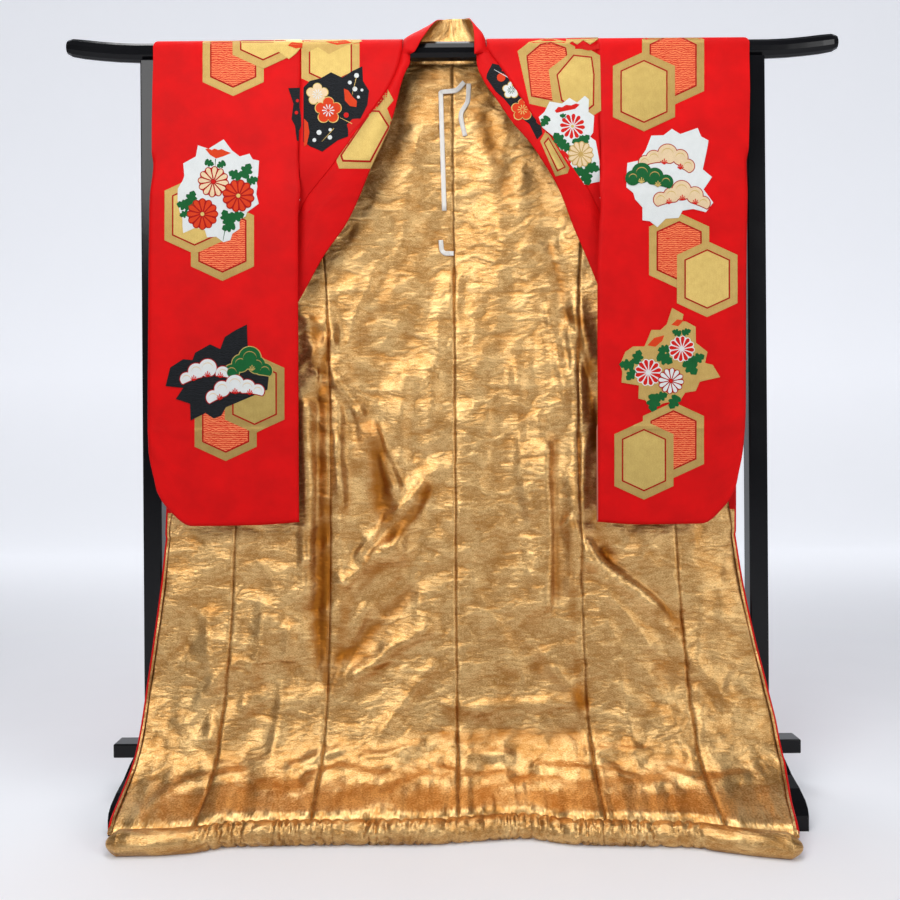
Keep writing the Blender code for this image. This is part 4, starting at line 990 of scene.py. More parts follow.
    def middle(self) -> tuple[Array, Array, Array]:
        """Middle surface between the shell and the lining: places, runs and cloth coordinates.

        The lift and the folds go along the profile's forward normal, so that near the hem, where the
        cloth leans forward, they stay square to it.
        """
        run = self.rows()
        across, plain, lift = self.profile(run)
        sign = self.side.value
        height = np.minimum(run, BEAM_AXIS)[:, None]
        depth = hung(sign * across, height, plain)
        step = 0.002
        slope = (hung(sign * across, height + step, plain) - depth) / step
        size = np.hypot(1.0, slope)
        forward = np.arange(across.shape[1])[None] <= self.TURN - 1
        fade = 1 - eased(height, self.FOLDS_END)
        lift = lift + fold_rise(FRAME_FOLDS, sign * across, height) * forward * fade
        depth, height = depth + lift / size, height - lift * slope / size
        turn = np.maximum(run - BEAM_AXIS, 0.0)[:, None] / WRAP_RADIUS
        over = (run > BEAM_AXIS)[:, None]
        lean = np.where(np.arange(across.shape[1])[None] <= self.BACK, -1.0, 1.0) * WRAP_RADIUS * np.cos(turn)
        depth = np.where(over, lean, depth)
        height = np.where(over, BEAM_AXIS + WRAP_RADIUS * np.sin(turn), height)
        place = np.stack([across, depth, height], axis=-1)
        step_across = np.linalg.norm(np.diff(place, axis=1), axis=-1)
        along = np.concatenate([np.zeros((len(run), 1)), np.cumsum(step_across, axis=1)], axis=1)
        return place, run, np.stack([sign * along, np.repeat(run[:, None], along.shape[1], axis=1)], axis=-1)

    def skin(self, flat: Array) -> Array:
        """Points of the turned-back front over (across, run), on up over the beam."""
        depth, height = wrapped(flat[:, 1], read(RETURN_DEPTH, flat[:, 1]))
        return world(np.stack([flat[:, 0], depth, height], axis=-1))

    def panels(self, run: Array) -> list[Panel]:
        """The three panels, each with the quads that it takes by row and column."""
        opening = int(np.searchsorted(run, SIDE_OPENING - 1e-6))
        top = int(np.searchsorted(run, OKUMI_TOP - 1e-6))
        neck = int(np.searchsorted(run, NECK_ROW - 1e-6))
        neck_column = round(NECK_SHARE[self.side] * self.BACK)
        return [
            Panel("back", lambda r, c: (c < self.BACK) & ((r < neck) | (c >= neck_column))),
            Panel("front", lambda r, c: np.where(
                r >= opening, c >= self.TURN, (c >= self.BACK) & ((r >= top) | (c < self.LEG)),
            )),
            Panel("okumi", lambda r, c: (r < top) & (c >= self.LEG)),
        ]

    def build(self) -> None:
        """Build the six pieces of this half."""
        place, run, cloth = self.middle()
        points = world(mirrored(self.side, place))
        flip = -1.0 if self.side is Side.RIGHT else 1.0
        outwards = flip * facing(points)
        rows, columns = place.shape[:2]
        across, height = self.side.value * place[..., 0], place[..., 2]
        low = 1 - eased(height, self.CREASES_END)
        crumple = sum(size * ridged(across, height, cell, 11 + k) for k, (cell, size) in enumerate(CRUMPLES))
        over_hem = np.maximum(height - HEM_HEIGHT, 0)
        pucker = self.PUCKER * gather(across)[0] * np.exp(-over_hem / self.PUCKER_HEIGHT)
        calm = 1 - self.CALM * np.exp(-((across / self.CALM_REACH) ** 2)) * eased(height, self.CALM_FROM)
        forward = (np.arange(columns)[None] <= self.OKUMI) * low * calm
        bent = across + self.BEND * (lattice(across, height, 0.07, 61) - 0.5)
        swayed = height + self.SWAY * (lattice(across, height, 0.09, 62) - 0.5)
        creases = np.array(CREASES) * (1, 1, 1, 1, *CREASE_GAIN)
        extra = (crumple + pucker + np.maximum(fold_rise(creases, bent, swayed), 0.0)) * forward
        # Painted shade of the lining, 0 to 1: orange-brown along the SHADES bands of the folds, lighter on
        # the crumples' bulges and darker in their dips, and a darker line along the seam columns
        tone = fold_rise(SHADES, bent, swayed) * (np.arange(columns)[None] <= self.OKUMI)
        seam = np.isin(np.arange(columns), (0, self.BACK, self.LEG))[None]
        tone, extra = tone + self.SEAM_TONE * seam, extra * (1 - self.SEAM_FLAT * seam)
        bulge = crumple / sum(size for _, size in CRUMPLES)
        tone = np.clip(tone - self.CRUMPLE_TONE * (bulge - 0.4), 0.0, 1.0)
        r, c = np.meshgrid(np.arange(rows - 1), np.arange(columns - 1), indexing="ij")
        for panel in self.panels(run):
            kept = panel.keep(r, c).astype(bool)
            quads = turned(self.side, grid_quads(rows, columns, kept))
            flat_points, flat_out = points.reshape(-1, 3), outwards.reshape(-1, 3)
            uv = cloth.reshape(-1, 2)
            name = f"{panel.name}_{self.side.word}"
            near = flat_points + flat_out * (SEAM_HALF_GAP + self.CLEAR)
            far = near + flat_out * (OUTER_WALL - 2 * self.CLEAR)
            for skin in (near, far):
                skin[:columns, 2] -= SHELL_DROP
            outer, kinds = shell(f"{name}_brocade", far, near, quads[:, ::-1], uv)
            gold = np.zeros(len(kinds), bool)
            gold[:len(quads)] = (c[kept] >= PIPING_COLUMN) & (run[r[kept]] < PIPING_BELOW)
            paint(outer, [self.brocade, self.lame], gold)
            near = flat_points - flat_out * (SEAM_HALF_GAP + self.CLEAR + 0.6 * extra.reshape(-1, 1))
            far = flat_points - flat_out * (SEAM_HALF_GAP + LINING_WALL + extra.reshape(-1, 1))
            for skin in (near, far):
                way = skin[:columns] - skin[columns:2 * columns]
                way = way / np.linalg.norm(way, axis=1, keepdims=True)
                skin[:columns] += way * HEM_TUCK - (0.0, 0.0, HEM_DROP)
            lining, _ = shell(f"{name}_lame", far, near, quads, uv)
            paint(lining, [self.lame])
            toned(lining, tone.ravel()[np.unique(quads)])
            upper = [f"chest_{self.side.word}", f"shoulder_{self.side.word}"] if panel.name == "front" else []
            for made, nodes, slot in (
                (outer, [name, *upper], Slot.BROCADE), (lining, [f"lining_{name}"], Slot.LAME),
            ):
                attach(made, ROOT)
                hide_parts(*nodes)
                self.pieces.append(made)
            log.info("%s: shell and lining, %d quads", name, len(quads))


@dataclass
class Sleeve:
    """One sleeve: a flat bag over the beam, open at its inner edge and, high up, at its outer edge."""

    side: Side
    brocade: bpy.types.Material
    lining: bpy.types.Material

    ROWS, COLUMNS = 128, 40
    ROUND_COLUMNS = 8  # of them, across the outer edge's round
    CUFF_EASE = 0.03  # over this height the closed outer edge opens into the cuff
    THINNER = 0.0006  # how much less than the solid the wall is thick
    STORAGE_CREASE = (0.784, 0.006, 0.0012)  # height, half width and rise of the crease across the sleeve
    LONG_WAVE, LONG_CELL, SHORT_WAVE, SHORT_CELL = 0.0016, 0.16, 0.0008, 0.05
    HANG_TO, HANG_FROM = (1.57, 0.1), (0.60, 0.05)

    def inner(self, height: Array, front: bool) -> Array:
        """Inner edge; the front layer laps a little over the top of the side opening."""
        low = 0.0 if self.side is Side.LEFT else 0.78  # below this the right sleeve shows its lining
        trim = BACK_TRIM * soft((height - low) / 0.02) * (1 - soft((height - SIDE_OPENING) / 0.05))
        lap = SLIT_EASE * np.exp(-(((height - SLIT_HEIGHT) / SLIT_REACH) ** 2))
        return read(SLEEVE_INNER[self.side], height) + (-lap if front else trim)

    def layer_place(self, share: Array, run: Array, front: bool) -> Array:
        """Middle surface of one layer, by the share of the width and the run up from the bottom edge.

        Near the outer edge and the bottom the two layers close on their mean depth as the sides of a
        half circle: depth = mean + (layer − mean) · √(1 − t²).
        """
        share, run = np.broadcast_arrays(np.asarray(share, float), np.asarray(run, float))
        height = np.maximum(run, SLEEVE_LOWEST)
        low = np.clip((SLEEVE_SQUARE_FROM - height) / (SLEEVE_SQUARE_FROM - SLEEVE_LOWEST), 0, 1)
        level = height + low * (read(SLEEVE_BOTTOM[self.side], share) + SLEEVE_ROUND - SLEEVE_LOWEST)
        near, far = read(SLEEVE_FRONT_DEPTH, height), read(SLEEVE_BACK_DEPTH, height)
        under = np.clip((SLEEVE_LOWEST - run) / SLEEVE_ROUND, 0, 1)
        out = np.clip((share - EDGE_SHARE) / (1 - EDGE_SHARE), 0, 1)
        open_cuff = soft((height - ARMHOLE) / self.CUFF_EASE)
        closing = np.sqrt(np.clip(1 - under**2, 0, 1)) * (1 - (1 - np.sqrt(1 - out**2)) * (1 - open_cuff))
        mean = (near + far) / 2
        depth = mean + ((near if front else far) - mean) * closing
        outer, inner = read(SLEEVE_OUTER_FRONT[self.side], height), self.inner(height, front)
        if not front:
            outer = np.where(height > SIDE_OPENING, read(SLEEVE_OUTER_BACK[self.side], height), outer)
        across = inner + share * (outer - inner)
        return np.stack([across, depth, level - under * SLEEVE_ROUND], axis=-1)

    def place(self, across: Array, run: Array) -> Array:
        """Front layer's middle surface by the distance across and the run, over the beam's top too."""
        flat = np.minimum(run, BEAM_AXIS)
        outer, inner = read(SLEEVE_OUTER_FRONT[self.side], flat), self.inner(flat, True)
        share = (across - inner) / (outer - inner)
        made = self.layer_place(share, flat, True)
        low = np.clip((SLEEVE_SQUARE_FROM - flat) / (SLEEVE_SQUARE_FROM - SLEEVE_LOWEST), 0, 1)
        made[..., 2] = np.where(low > 0, flat, made[..., 2])
        depth, height = wrapped(run, made[..., 1])
        made[..., 0], made[..., 1] = across, depth
        made[..., 2] = np.where(run > BEAM_AXIS, height, made[..., 2])
        made[..., 1] += self.rise(made[..., 0], made[..., 2]) * (run < BEAM_AXIS)
        return made

    def skin(self, flat: Array) -> Array:
        """Points of the front layer over (across, run) in the frame."""
        return world(mirrored(self.side, self.place(self.side.value * flat[:, 0], flat[:, 1])))

    def rise(self, across: Array, height: Array) -> Array:
        """Soft unevenness of the hanging front layer: the storage crease and slight long waves."""
        level, reach, lift = self.STORAGE_CREASE
        crease = lift * np.exp(-(((height - level - 0.004 * np.sin(9 * across)) / reach) ** 2))
        inside = soft((across - read(SLEEVE_INNER[self.side], height)) / 0.02)
        seed = 40 + self.side.value
        waves = self.LONG_WAVE * lattice(across * 2.2, height * 0.5, self.LONG_CELL, seed)
        waves = waves + self.SHORT_WAVE * lattice(across, height, self.SHORT_CELL, seed + 7)
        hang = soft((self.HANG_TO[0] - height) / self.HANG_TO[1]) * eased(height, self.HANG_FROM)
        return (crease + waves * inside) * hang

    def build(self) -> bpy.types.Object:
        """Build the sleeve as one closed wall: up the front, over the beam and down the back."""
        flat = np.linspace(0, EDGE_SHARE, self.COLUMNS - self.ROUND_COLUMNS)
        bend = np.sin(np.linspace(0, math.pi / 2, self.ROUND_COLUMNS + 1))[1:]
        share = np.concatenate([flat, EDGE_SHARE + (1 - EDGE_SHARE) * bend])
        bottom = SLEEVE_LOWEST - SLEEVE_ROUND * np.cos(np.linspace(0, math.pi / 2, 5))
        runs = np.concatenate([bottom, np.linspace(SLEEVE_LOWEST, BEAM_AXIS, self.ROWS)[1:]])
        front = self.layer_place(share[None], runs[:, None], True)
        back = self.layer_place(share[None], runs[:, None], False)
        front[..., 1] += self.rise(front[..., 0], front[..., 2])
        angle = np.linspace(0, math.pi, 15)[1:-1, None]
        blend = (1 + np.cos(angle)) / 2
        inner = SLEEVE_INNER[self.side][-1][1]
        fore, rear = (table[self.side][-1][1] for table in (SLEEVE_OUTER_FRONT, SLEEVE_OUTER_BACK))
        outer = blend * fore + (1 - blend) * rear
        over = np.stack(np.broadcast_arrays(
            inner + share[None] * (outer - inner),
            WRAP_RADIUS * np.cos(angle), BEAM_AXIS + WRAP_RADIUS * np.sin(angle),
        ), axis=-1)
        loop = np.concatenate([front, over, back[::-1]])
        rows, columns = loop.shape[:2]
        number = np.arange(rows * columns).reshape(rows, columns)
        closed = np.flatnonzero(runs < ARMHOLE)
        number[rows - 1 - closed, -1] = number[closed, -1]
        number[rows - 1] = number[0]
        quads = number.ravel()[grid_quads(rows, columns)]
        points = world(mirrored(self.side, loop))
        flip = 1.0 if self.side is Side.RIGHT else -1.0
        outwards = flip * facing(points)
        for edge in (0, rows - 1):
            outwards[edge] = (0.0, 0.0, -1.0)
        outwards[closed, -1] = outwards[rows - 1 - closed, -1] = (self.side.value, 0.0, 0.0)
        lengths = np.concatenate([[0.0], np.cumsum(np.linalg.norm(np.diff(loop[:, 0], axis=0), axis=-1))])
        uv = np.stack(np.broadcast_arrays(self.side.value * loop[..., 0], lengths[:, None]), axis=-1)
        half = outwards * (SLEEVE_WALL - self.THINNER) / 2
        quads = turned(self.side, quads)
        made, kinds = wall(f"sleeve_{self.side.word}_brocade", points, half, quads, uv)
        centres = np.empty(3 * len(kinds))
        made.data.polygons.foreach_get("center", centres)
        cuff = (kinds == 2) & (np.abs(centres[::3]) > CUFF_ACROSS)
        paint(made, [self.brocade, self.lining], (kinds == 1) | cuff)
        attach(made, ROOT)
        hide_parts(f"sleeve_{self.side.word}")
        log.info("%s: %d quads", made.name, len(quads))
        return made


@dataclass
class Collar:
    """The doubled collar band, red outside and gold inside, round the neck and down both fronts."""

    brocade: bpy.types.Material
    lame: bpy.types.Material

    STATIONS, SHARES = 520, 26
    THINNER = 0.0006  # how much less than the solid the wall is thick
    FRONT_STATIONS, LOW_DEPTH, DEPTH_FROM, EDGE_FORWARD = 36, 0.045, 1.15, 0.004
    WRINKLE, WRINKLE_CELL, WRINKLE_SEED = 0.0012, 0.05, 71
    NEWTON_STEPS, SMALL, END_GAP = 9, 0.001, 0.005

    def stations(self) -> tuple[Array, Array]:
        """Seam and free edge of the band, (stations, 3) each, from the left end to the right end."""
        heights = np.linspace(COLLAR_LOWEST, NECK_ROW, self.FRONT_STATIONS)
        runs = {}
        for side in Side:
            depth = np.where(heights > self.DEPTH_FROM, read(RETURN_DEPTH, heights), self.LOW_DEPTH)
            seam = np.stack([side.value * read(COLLAR_SEAM[side], heights), depth, heights], axis=-1)
            depth = depth + self.EDGE_FORWARD
            edge = np.stack([side.value * read(COLLAR_EDGE[side], heights), depth, heights], axis=-1)
            runs[side] = (seam, edge)
        neck = np.array(NECK_STATIONS)
        seam = np.concatenate([runs[Side.LEFT][0], neck[:, 0], runs[Side.RIGHT][0][::-1]])
        edge = np.concatenate([runs[Side.LEFT][1], neck[:, 1], runs[Side.RIGHT][1][::-1]])
        way = (edge - seam) / np.linalg.norm(edge - seam, axis=1, keepdims=True)
        lap = np.full((len(seam), 1), COLLAR_SEAM_GAP)
        lap[len(heights) + NECK_LAPPED[0]:len(heights) + NECK_LAPPED[1]] = -NECK_LAP
        return seam + lap * way, edge

    def band(self, share: Array, run: Array) -> Array:
        """Middle surface: straight from seam to edge, bowed out by a crown of 4·s·(1 − s), and wrinkled."""
        seam, edge = (world(line) for line in self.stations())
        middle = (seam + edge) / 2
        keys = np.concatenate([[0.0], np.cumsum(np.linalg.norm(np.diff(middle, axis=0), axis=-1))])
        share, run = np.broadcast_arrays(share, run)
        seam, edge = glide(keys, seam, run), glide(keys, edge, run)
        ahead = glide(keys, middle, run + 0.004) - glide(keys, middle, run - 0.004)
        outward = np.cross(edge - seam, ahead)
        outward /= np.linalg.norm(outward, axis=-1, keepdims=True)
        width = share * np.linalg.norm(edge - seam, axis=-1)
        uneven = ridged(width * 1.5, run * 0.5, self.WRINKLE_CELL, self.WRINKLE_SEED) - 0.3
        wrinkle = self.WRINKLE * uneven * np.sin(math.pi * share)
        lift = 4 * share * (1 - share) * COLLAR_CROWN + wrinkle
        return seam + (edge - seam) * share[..., None] + outward * lift[..., None]

    def skin(self, flat: Array) -> Array:
        """Points of the middle surface over (across, height), found by Newton's steps on share and run."""
        seam, edge = (world(line) for line in self.stations())
        middle = (seam + edge) / 2
        keys = np.concatenate([[0.0], np.cumsum(np.linalg.norm(np.diff(middle, axis=0), axis=-1))])
        share = np.full(len(flat), 0.5)
        near = np.abs(middle[None, :, 0] - flat[:, None, 0]) + np.abs(middle[None, :, 2] - flat[:, None, 1])
        run, step = keys[near.argmin(axis=1)], self.SMALL
        for _ in range(self.NEWTON_STEPS):
            place = self.band(share, run)[:, [0, 2]]
            by_share = (self.band(share + step, run)[:, [0, 2]] - place) / step
            by_run = (self.band(share, run + step)[:, [0, 2]] - place) / step
            miss = flat - place
            size = by_share[:, 0] * by_run[:, 1] - by_share[:, 1] * by_run[:, 0]
            size = np.where(np.abs(size) < 1e-6, 1e-6, size)
            share = share + (miss[:, 0] * by_run[:, 1] - miss[:, 1] * by_run[:, 0]) / size
            run = run + (by_share[:, 0] * miss[:, 1] - by_share[:, 1] * miss[:, 0]) / size
            share, run = np.clip(share, 0.0, 1.0), np.clip(run, self.END_GAP, keys[-1] - self.END_GAP)
        return self.band(share, run)

    def build(self) -> bpy.types.Object:
        """Build the band as a thin wall round its middle surface."""
        middle = world((self.stations()[0] + self.stations()[1]) / 2)
        total = np.linalg.norm(np.diff(middle, axis=0), axis=-1).sum()
        run, share = np.linspace(0, total, self.STATIONS)[:, None], np.linspace(0, 1, self.SHARES)[None]
        points = self.band(share, run)
        width = np.linalg.norm(points[:, -1] - points[:, 0], axis=-1)[:, None]
        uv = np.stack(np.broadcast_arrays(share * width, run), axis=-1)
        half = facing(points) * (COLLAR_WALL - self.THINNER) / 2
        quads = grid_quads(*points.shape[:2])
        made, kinds = wall("collar_brocade", points, half, quads, uv)
        paint(made, [self.brocade, self.lame], kinds == 1)
        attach(made, ROOT)
        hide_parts("collar")
        log.info("collar: %d quads", len(quads))
        return made


@dataclass
class HemRoll:
    """The padded hem roll on the floor, gathered between its two smooth ends."""

    lame: bpy.types.Material

    STATIONS, SIDES = 1500, 26
    SWELL, DRAWN = 1.02, 0.0062  # the padding against its solid, and how far the gathers draw it in
    FLATTER, END_ROUND, FLOOR_GAP = 1.08, 0.024, 0.0004

    def build(self) -> bpy.types.Object:
        """Sweep a round section along the hem line, drawn in by uneven gathers."""
        line = np.array(HEM_LINE)
        across = np.linspace(line[0, 0], line[-1, 0], self.STATIONS)
        depth = glide(line[:, 0], line[:, 1], across)[:, None]
        angle = (math.tau * np.arange(self.SIDES) / self.SIDES - math.pi / 2)[None]
        lean = 0.006 * np.sin(angle + 0.7) + 0.016 * (lattice(across[:, None], angle, 0.03, 8) - 0.5)
        bulge, gathered = gather(across[:, None] + lean)
        uneven = 0.35 + 0.95 * lattice(across, 0 * across, 0.035, 5)
        radius = ROLL_RADIUS * self.SWELL - self.DRAWN * uneven[:, None] * (gathered - bulge)
        gathered = gathered[:, 0]
        pucker = 0.0009 * (1 - gathered)[:, None] * lattice(across[:, None] * 3, angle * 0.4, 0.06, 9)
        radius = radius - pucker
        ends = np.minimum(across - across[0], across[-1] - across)[:, None]
        radius = radius * np.sqrt(np.clip((ends + 0.0006) / self.END_ROUND, 0.0, 1.0))
        height = np.maximum(ROLL_AXIS + radius * np.sin(angle), self.FLOOR_GAP)
        depth = depth + radius * self.FLATTER * np.cos(angle)
        place = np.stack(np.broadcast_arrays(across[:, None], depth, height), axis=-1)
        points = world(place).reshape(-1, 3)
        number = np.arange(self.STATIONS * self.SIDES).reshape(self.STATIONS, self.SIDES)
        after = np.roll(number, -1, axis=1)
        quads = np.stack([number[:-1], number[1:], after[1:], after[:-1]], axis=-1).reshape(-1, 4)
        count = len(points)
        points = np.concatenate([points, points.reshape(self.STATIONS, self.SIDES, 3)[[0, -1]].mean(axis=1)])
        first = np.stack([number[0], after[0], np.full(self.SIDES, count)], axis=-1)
        last = np.stack([after[-1], number[-1], np.full(self.SIDES, count + 1)], axis=-1)
        uv = np.stack(np.broadcast_arrays(across[:, None], angle * ROLL_RADIUS), axis=-1).reshape(-1, 2)
        uv = np.concatenate([uv, [[across[0], 0.0], [across[-1], 0.0]]])
        made = mesh_object("hem_roll_lame", points, [quads, first, last], uv)
        paint(made, [self.lame])
        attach(made, ROOT)
        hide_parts("hem_roll")
        log.info("hem roll: %d quads", len(quads))
        return made


@dataclass(frozen=True)
class Tape:
    """A white tape that hangs from inside the collar in front of the back lining."""

    node: str
    clearance: float
    route: Table
    length: float

    WIDTH, WALL = 0.0100, 0.0008
    FINE, COLUMNS = 14, 5  # rows from one route point to the next, and points across
    TWIST, TURNS, FORWARD, FOLDS_BELOW = 0.0012, 2.3, 0.0022, 1.22

    def build(self, material: bpy.types.Material) -> bpy.types.Object:
        """Ribbon along a smoothed route, a little twisted where it hangs free."""
        path = np.array(self.route)
        keys = np.arange(len(path), dtype=float)
        fine = np.linspace(0, len(path) - 1, self.FINE * (len(path) - 1) + 1)
        line = glide(keys, path, fine)
        run = np.gradient(line, axis=0)
        run /= np.linalg.norm(run, axis=1, keepdims=True)
        across_way = np.stack([run[:, 1], -run[:, 0]], axis=-1)
        share = np.linspace(-0.5, 0.5, self.COLUMNS)
        flat = line[:, None] + across_way[:, None] * share[None, :, None] * self.WIDTH
        across, height = flat[..., 0], flat[..., 1]
        seam = read(ARMHOLE_TO_SIDE_SEAM[Side.LEFT], height)
        centre, edge = read(BACK_CENTRE_DEPTH, height), read(SIDE_SEAM_DEPTH, height)
        plain = centre + (edge - centre) * (across / seam) ** 2
        folds = fold_rise(FRAME_FOLDS, across, height) * (height < self.FOLDS_BELOW)
        depth = hung(across, height, plain) + folds
        twist = self.TWIST * np.sin(fine * self.TURNS)[:, None] * share[None] * 2
        depth = depth + LINING_WALL + self.clearance + self.FORWARD + twist
        points = world(np.stack([across, depth, height], axis=-1))
        outwards = facing(points)
        quads = grid_quads(*points.shape[:2])
        if outwards[0, 0, 1] > 0:
            quads, outwards = quads[:, ::-1], -outwards
        half = outwards * self.WALL / 2
        uv = np.stack(np.broadcast_arrays(share[None] * self.WIDTH, fine[:, None] * 0.1), axis=-1)
        made, _ = wall(f"{self.node}_cotton", points, half, quads, uv)
        paint(made, [material])
        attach(made, ROOT)
        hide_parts(self.node)
        return made


TAPES = (
    Tape(
        "tape_long", 0.0019,
        ((0.026, 1.548), (0.006, 1.530), (-0.026, 1.526), (-0.024, 1.44), (-0.020, 1.265)), 0.32,
    ),
    Tape("tape_short", 0.0012, ((0.036, 1.545), (0.034, 1.51), (0.018, 1.475), (0.027, 1.43)), 0.125),
    Tape("tape_end", 0.0014, ((-0.028, 1.200), (-0.026, 1.178), (-0.016, 1.170), (0.000, 1.170)), 0.05),
)


# --- woven figures ---------------------------------------------------------------------------------


def unrolled(height: Array) -> Array:
    """Run of a cloth over the beam by the height at which it is seen from the front."""
    over = np.clip((height - BEAM_AXIS) / WRAP_RADIUS, 0.0, 1.0)
    past = np.maximum(height - BEAM_AXIS - WRAP_RADIUS, 0.0)
    return np.where(height > BEAM_AXIS, BEAM_AXIS + WRAP_RADIUS * np.arcsin(over) + past, height)


def seen(pixels: Array, skin: Callable[[Array], Array]) -> Array:
    """Across and run of the cloth under pixels of the photograph.

    The ray through a pixel is followed to the cloth's depth, which is read again at each place found.

    Args:
        pixels: Places in the photograph, (n, 2), x to the right and y down.
        skin: The cloth, from (across, run) to points in the frame.

    Returns:
        Across and run, (n, 2).
    """
    x, y = (np.asarray(pixels, float) - PHOTO_MIDDLE).T
    cosine, sine = math.cos(CAMERA_ROLL), math.sin(CAMERA_ROLL)
    x, y = x * cosine - y * sine, x * sine + y * cosine
    away = np.full(len(x), CAMERA_DISTANCE - RETURN_DEPTH[0][1])
    for _ in range(5):
        across = CAMERA_ACROSS + x / FOCAL_PIXELS * away
        run = unrolled(CAMERA_HEIGHT - y / FOCAL_PIXELS * away)
        flat = np.stack([across, run], axis=-1)
        away = CAMERA_DISTANCE - (POST_PLANE - skin(flat)[:, 1])
    return flat


@dataclass(frozen=True)
class Region:
    """One flat colour of a figure: its outline in photograph pixels, its thread and its layer."""

    outline: Array
    thread: Thread
    layer: float


Point = tuple[float, float]


def by_radii(centre: Point, radius: Array) -> Array:
    """Outline by its radii at even angles."""
    angle = math.tau * np.arange(len(radius)) / len(radius)
    return np.array(centre) + np.stack([np.cos(angle), np.sin(angle)], axis=-1) * radius[:, None]


class Mark:
    """Part of a figure, in the photograph's pixels."""

    def regions(self) -> Iterator[Region]:
        """Flat colours of this mark, each over the ones before."""
        raise NotImplementedError


@dataclass(frozen=True)
class Patch(Mark):
    """One flat colour by its corners."""

    outline: Sequence[Point]
    thread: Thread
    layer: float

    def regions(self) -> Iterator[Region]:
        """The patch itself."""
        yield Region(np.array(self.outline, float), self.thread, self.layer)


@dataclass(frozen=True)
class Disc(Mark):
    """A round."""

    centre: Point
    radius: float
    thread: Thread
    layer: float

    def regions(self) -> Iterator[Region]:
        """The round with three corners a pixel of its radius."""
        sides = max(8, int(self.radius * 3))
        yield Region(by_radii(self.centre, np.full(sides, self.radius)), self.thread, self.layer)


@dataclass(frozen=True)
class Stroke(Mark):
    """A stroke that tapers from its end back to its start."""

    start: Point
    end: Point
    width: float
    thread: Thread
    layer: float

    THIN = 0.4  # half width at the start against the end's

    def regions(self) -> Iterator[Region]:
        """Five corners: two at the start, two at the end, and a short tip."""
        start, end = np.array(self.start, float), np.array(self.end, float)
        way = (end - start) / np.linalg.norm(end - start)
        side = np.array([-way[1], way[0]]) * self.width / 2
        tip = end + 0.5 * self.width * way
        outline = [start - self.THIN * side, end - side, tip, end + side, start + self.THIN * side]
        yield Region(np.array(outline), self.thread, self.layer)


@dataclass(frozen=True)
class Hexagon(Mark):
    """A tortoiseshell hexagon, points up and down: gold frame, thin red line, fill."""

    middle: float
    bottom: float
    fill: Thread
    layer: float
    width: float = 61
    height: float = 79

    SLOPE = 0.46
    INSETS = (0.0, 7.4, 8.9)
    SIGNS = ((0, 1), (1, 1), (1, -1), (0, -1), (-1, -1), (-1, 1))

    def regions(self) -> Iterator[Region]:
        """Three hexagons, one inside the other."""
        signs = np.array(self.SIGNS)
        sides = signs[:, 0] != 0
        centre = np.array([self.middle, self.bottom - self.height / 2])
        for step, (inset, thread) in enumerate(zip(self.INSETS, (Thread.GOLD, Thread.LINE, self.fill))):
            half = self.width / 2 - inset
            point = self.height / 2 - inset * math.hypot(1.0, self.SLOPE)
            corners = signs * np.array([half, point])
            corners[sides, 1] -= signs[sides, 1] * self.SLOPE * half
            yield Region(corners + centre, thread, self.layer + step)


@dataclass(frozen=True)
class Mum(Mark):
    """A chrysanthemum: a scalloped ground, its petals and its heart."""

    centre: Point
    radius: float
    petal: Thread
    edge: Thread
    heart: Thread
    layer: float
    turn: float = 0.1

    COUNT = 12
    GROUND, SCALLOP = 0.90, 0.12
    ALONG = (0.16, 0.55, 0.80, 0.92, 0.97, 0.92, 0.80, 0.55)
    HALF = (0.10, 0.50, 0.72, 0.48, 0.0, -0.48, -0.72, -0.50)
    PETAL_WIDTH = 0.80  # of the room that a petal has
    HEART = 0.13

    def regions(self) -> Iterator[Region]:
        """Ground, petals one after another, heart."""
        steps = 12 * self.COUNT
        angle = math.tau * np.arange(steps) / steps
        bulge = np.abs(np.cos((angle - self.turn) * self.COUNT / 2))
        scallop = self.radius * (self.GROUND + self.SCALLOP * bulge)
        yield Region(by_radii(self.centre, scallop), self.edge, self.layer)
        along = np.array(self.ALONG)[:, None] * self.radius
        half = math.pi / self.COUNT * self.PETAL_WIDTH * np.array(self.HALF)[:, None] * self.radius
        for k in range(self.COUNT):
            bearing = self.turn + math.tau * k / self.COUNT
            way = np.array([math.cos(bearing), math.sin(bearing)])
            side = np.array([-way[1], way[0]])
            yield Region(np.array(self.centre) + along * way + half * side, self.petal, self.layer + 1)
        yield from Disc(self.centre, self.HEART * self.radius, self.heart, self.layer + 2).regions()


@dataclass(frozen=True)
class Plum(Mark):
    """A plum blossom: five round lobes with an edge, and stamens."""

    centre: Point
    radius: float
    petal: Thread
    edge: Thread
    heart: Thread
    layer: float

    TURN = -math.pi / 2
    CORNERS, LOBES, VALLEY, HILL, ROUNDNESS = 60, 5, 0.66, 0.34, 0.7
    EDGE = 0.9
    STAMENS, FROM, TO, THICK = 10, 0.12, 0.44, 0.10  # shares of the radius

    def regions(self) -> Iterator[Region]:
        """Edge, petals, and the stamens as strokes."""
        angle = math.tau * np.arange(self.CORNERS) / self.CORNERS
        bulge = np.abs(np.cos((angle - self.TURN) * (self.LOBES / 2))) ** self.ROUNDNESS
        lobes = self.radius * (self.VALLEY + self.HILL * bulge)
        yield Region(by_radii(self.centre, lobes + self.EDGE), self.edge, self.layer)
        yield Region(by_radii(self.centre, lobes), self.petal, self.layer + 1)
        for k in range(self.STAMENS):
            bearing = self.TURN + math.tau * (k + 0.5) / self.STAMENS
            way = self.radius * np.array([math.cos(bearing), math.sin(bearing)])
            start, end = (tuple(np.array(self.centre) + share * way) for share in (self.FROM, self.TO))
            yield from Stroke(start, end, self.THICK * self.radius, self.heart, self.layer + 2).regions()


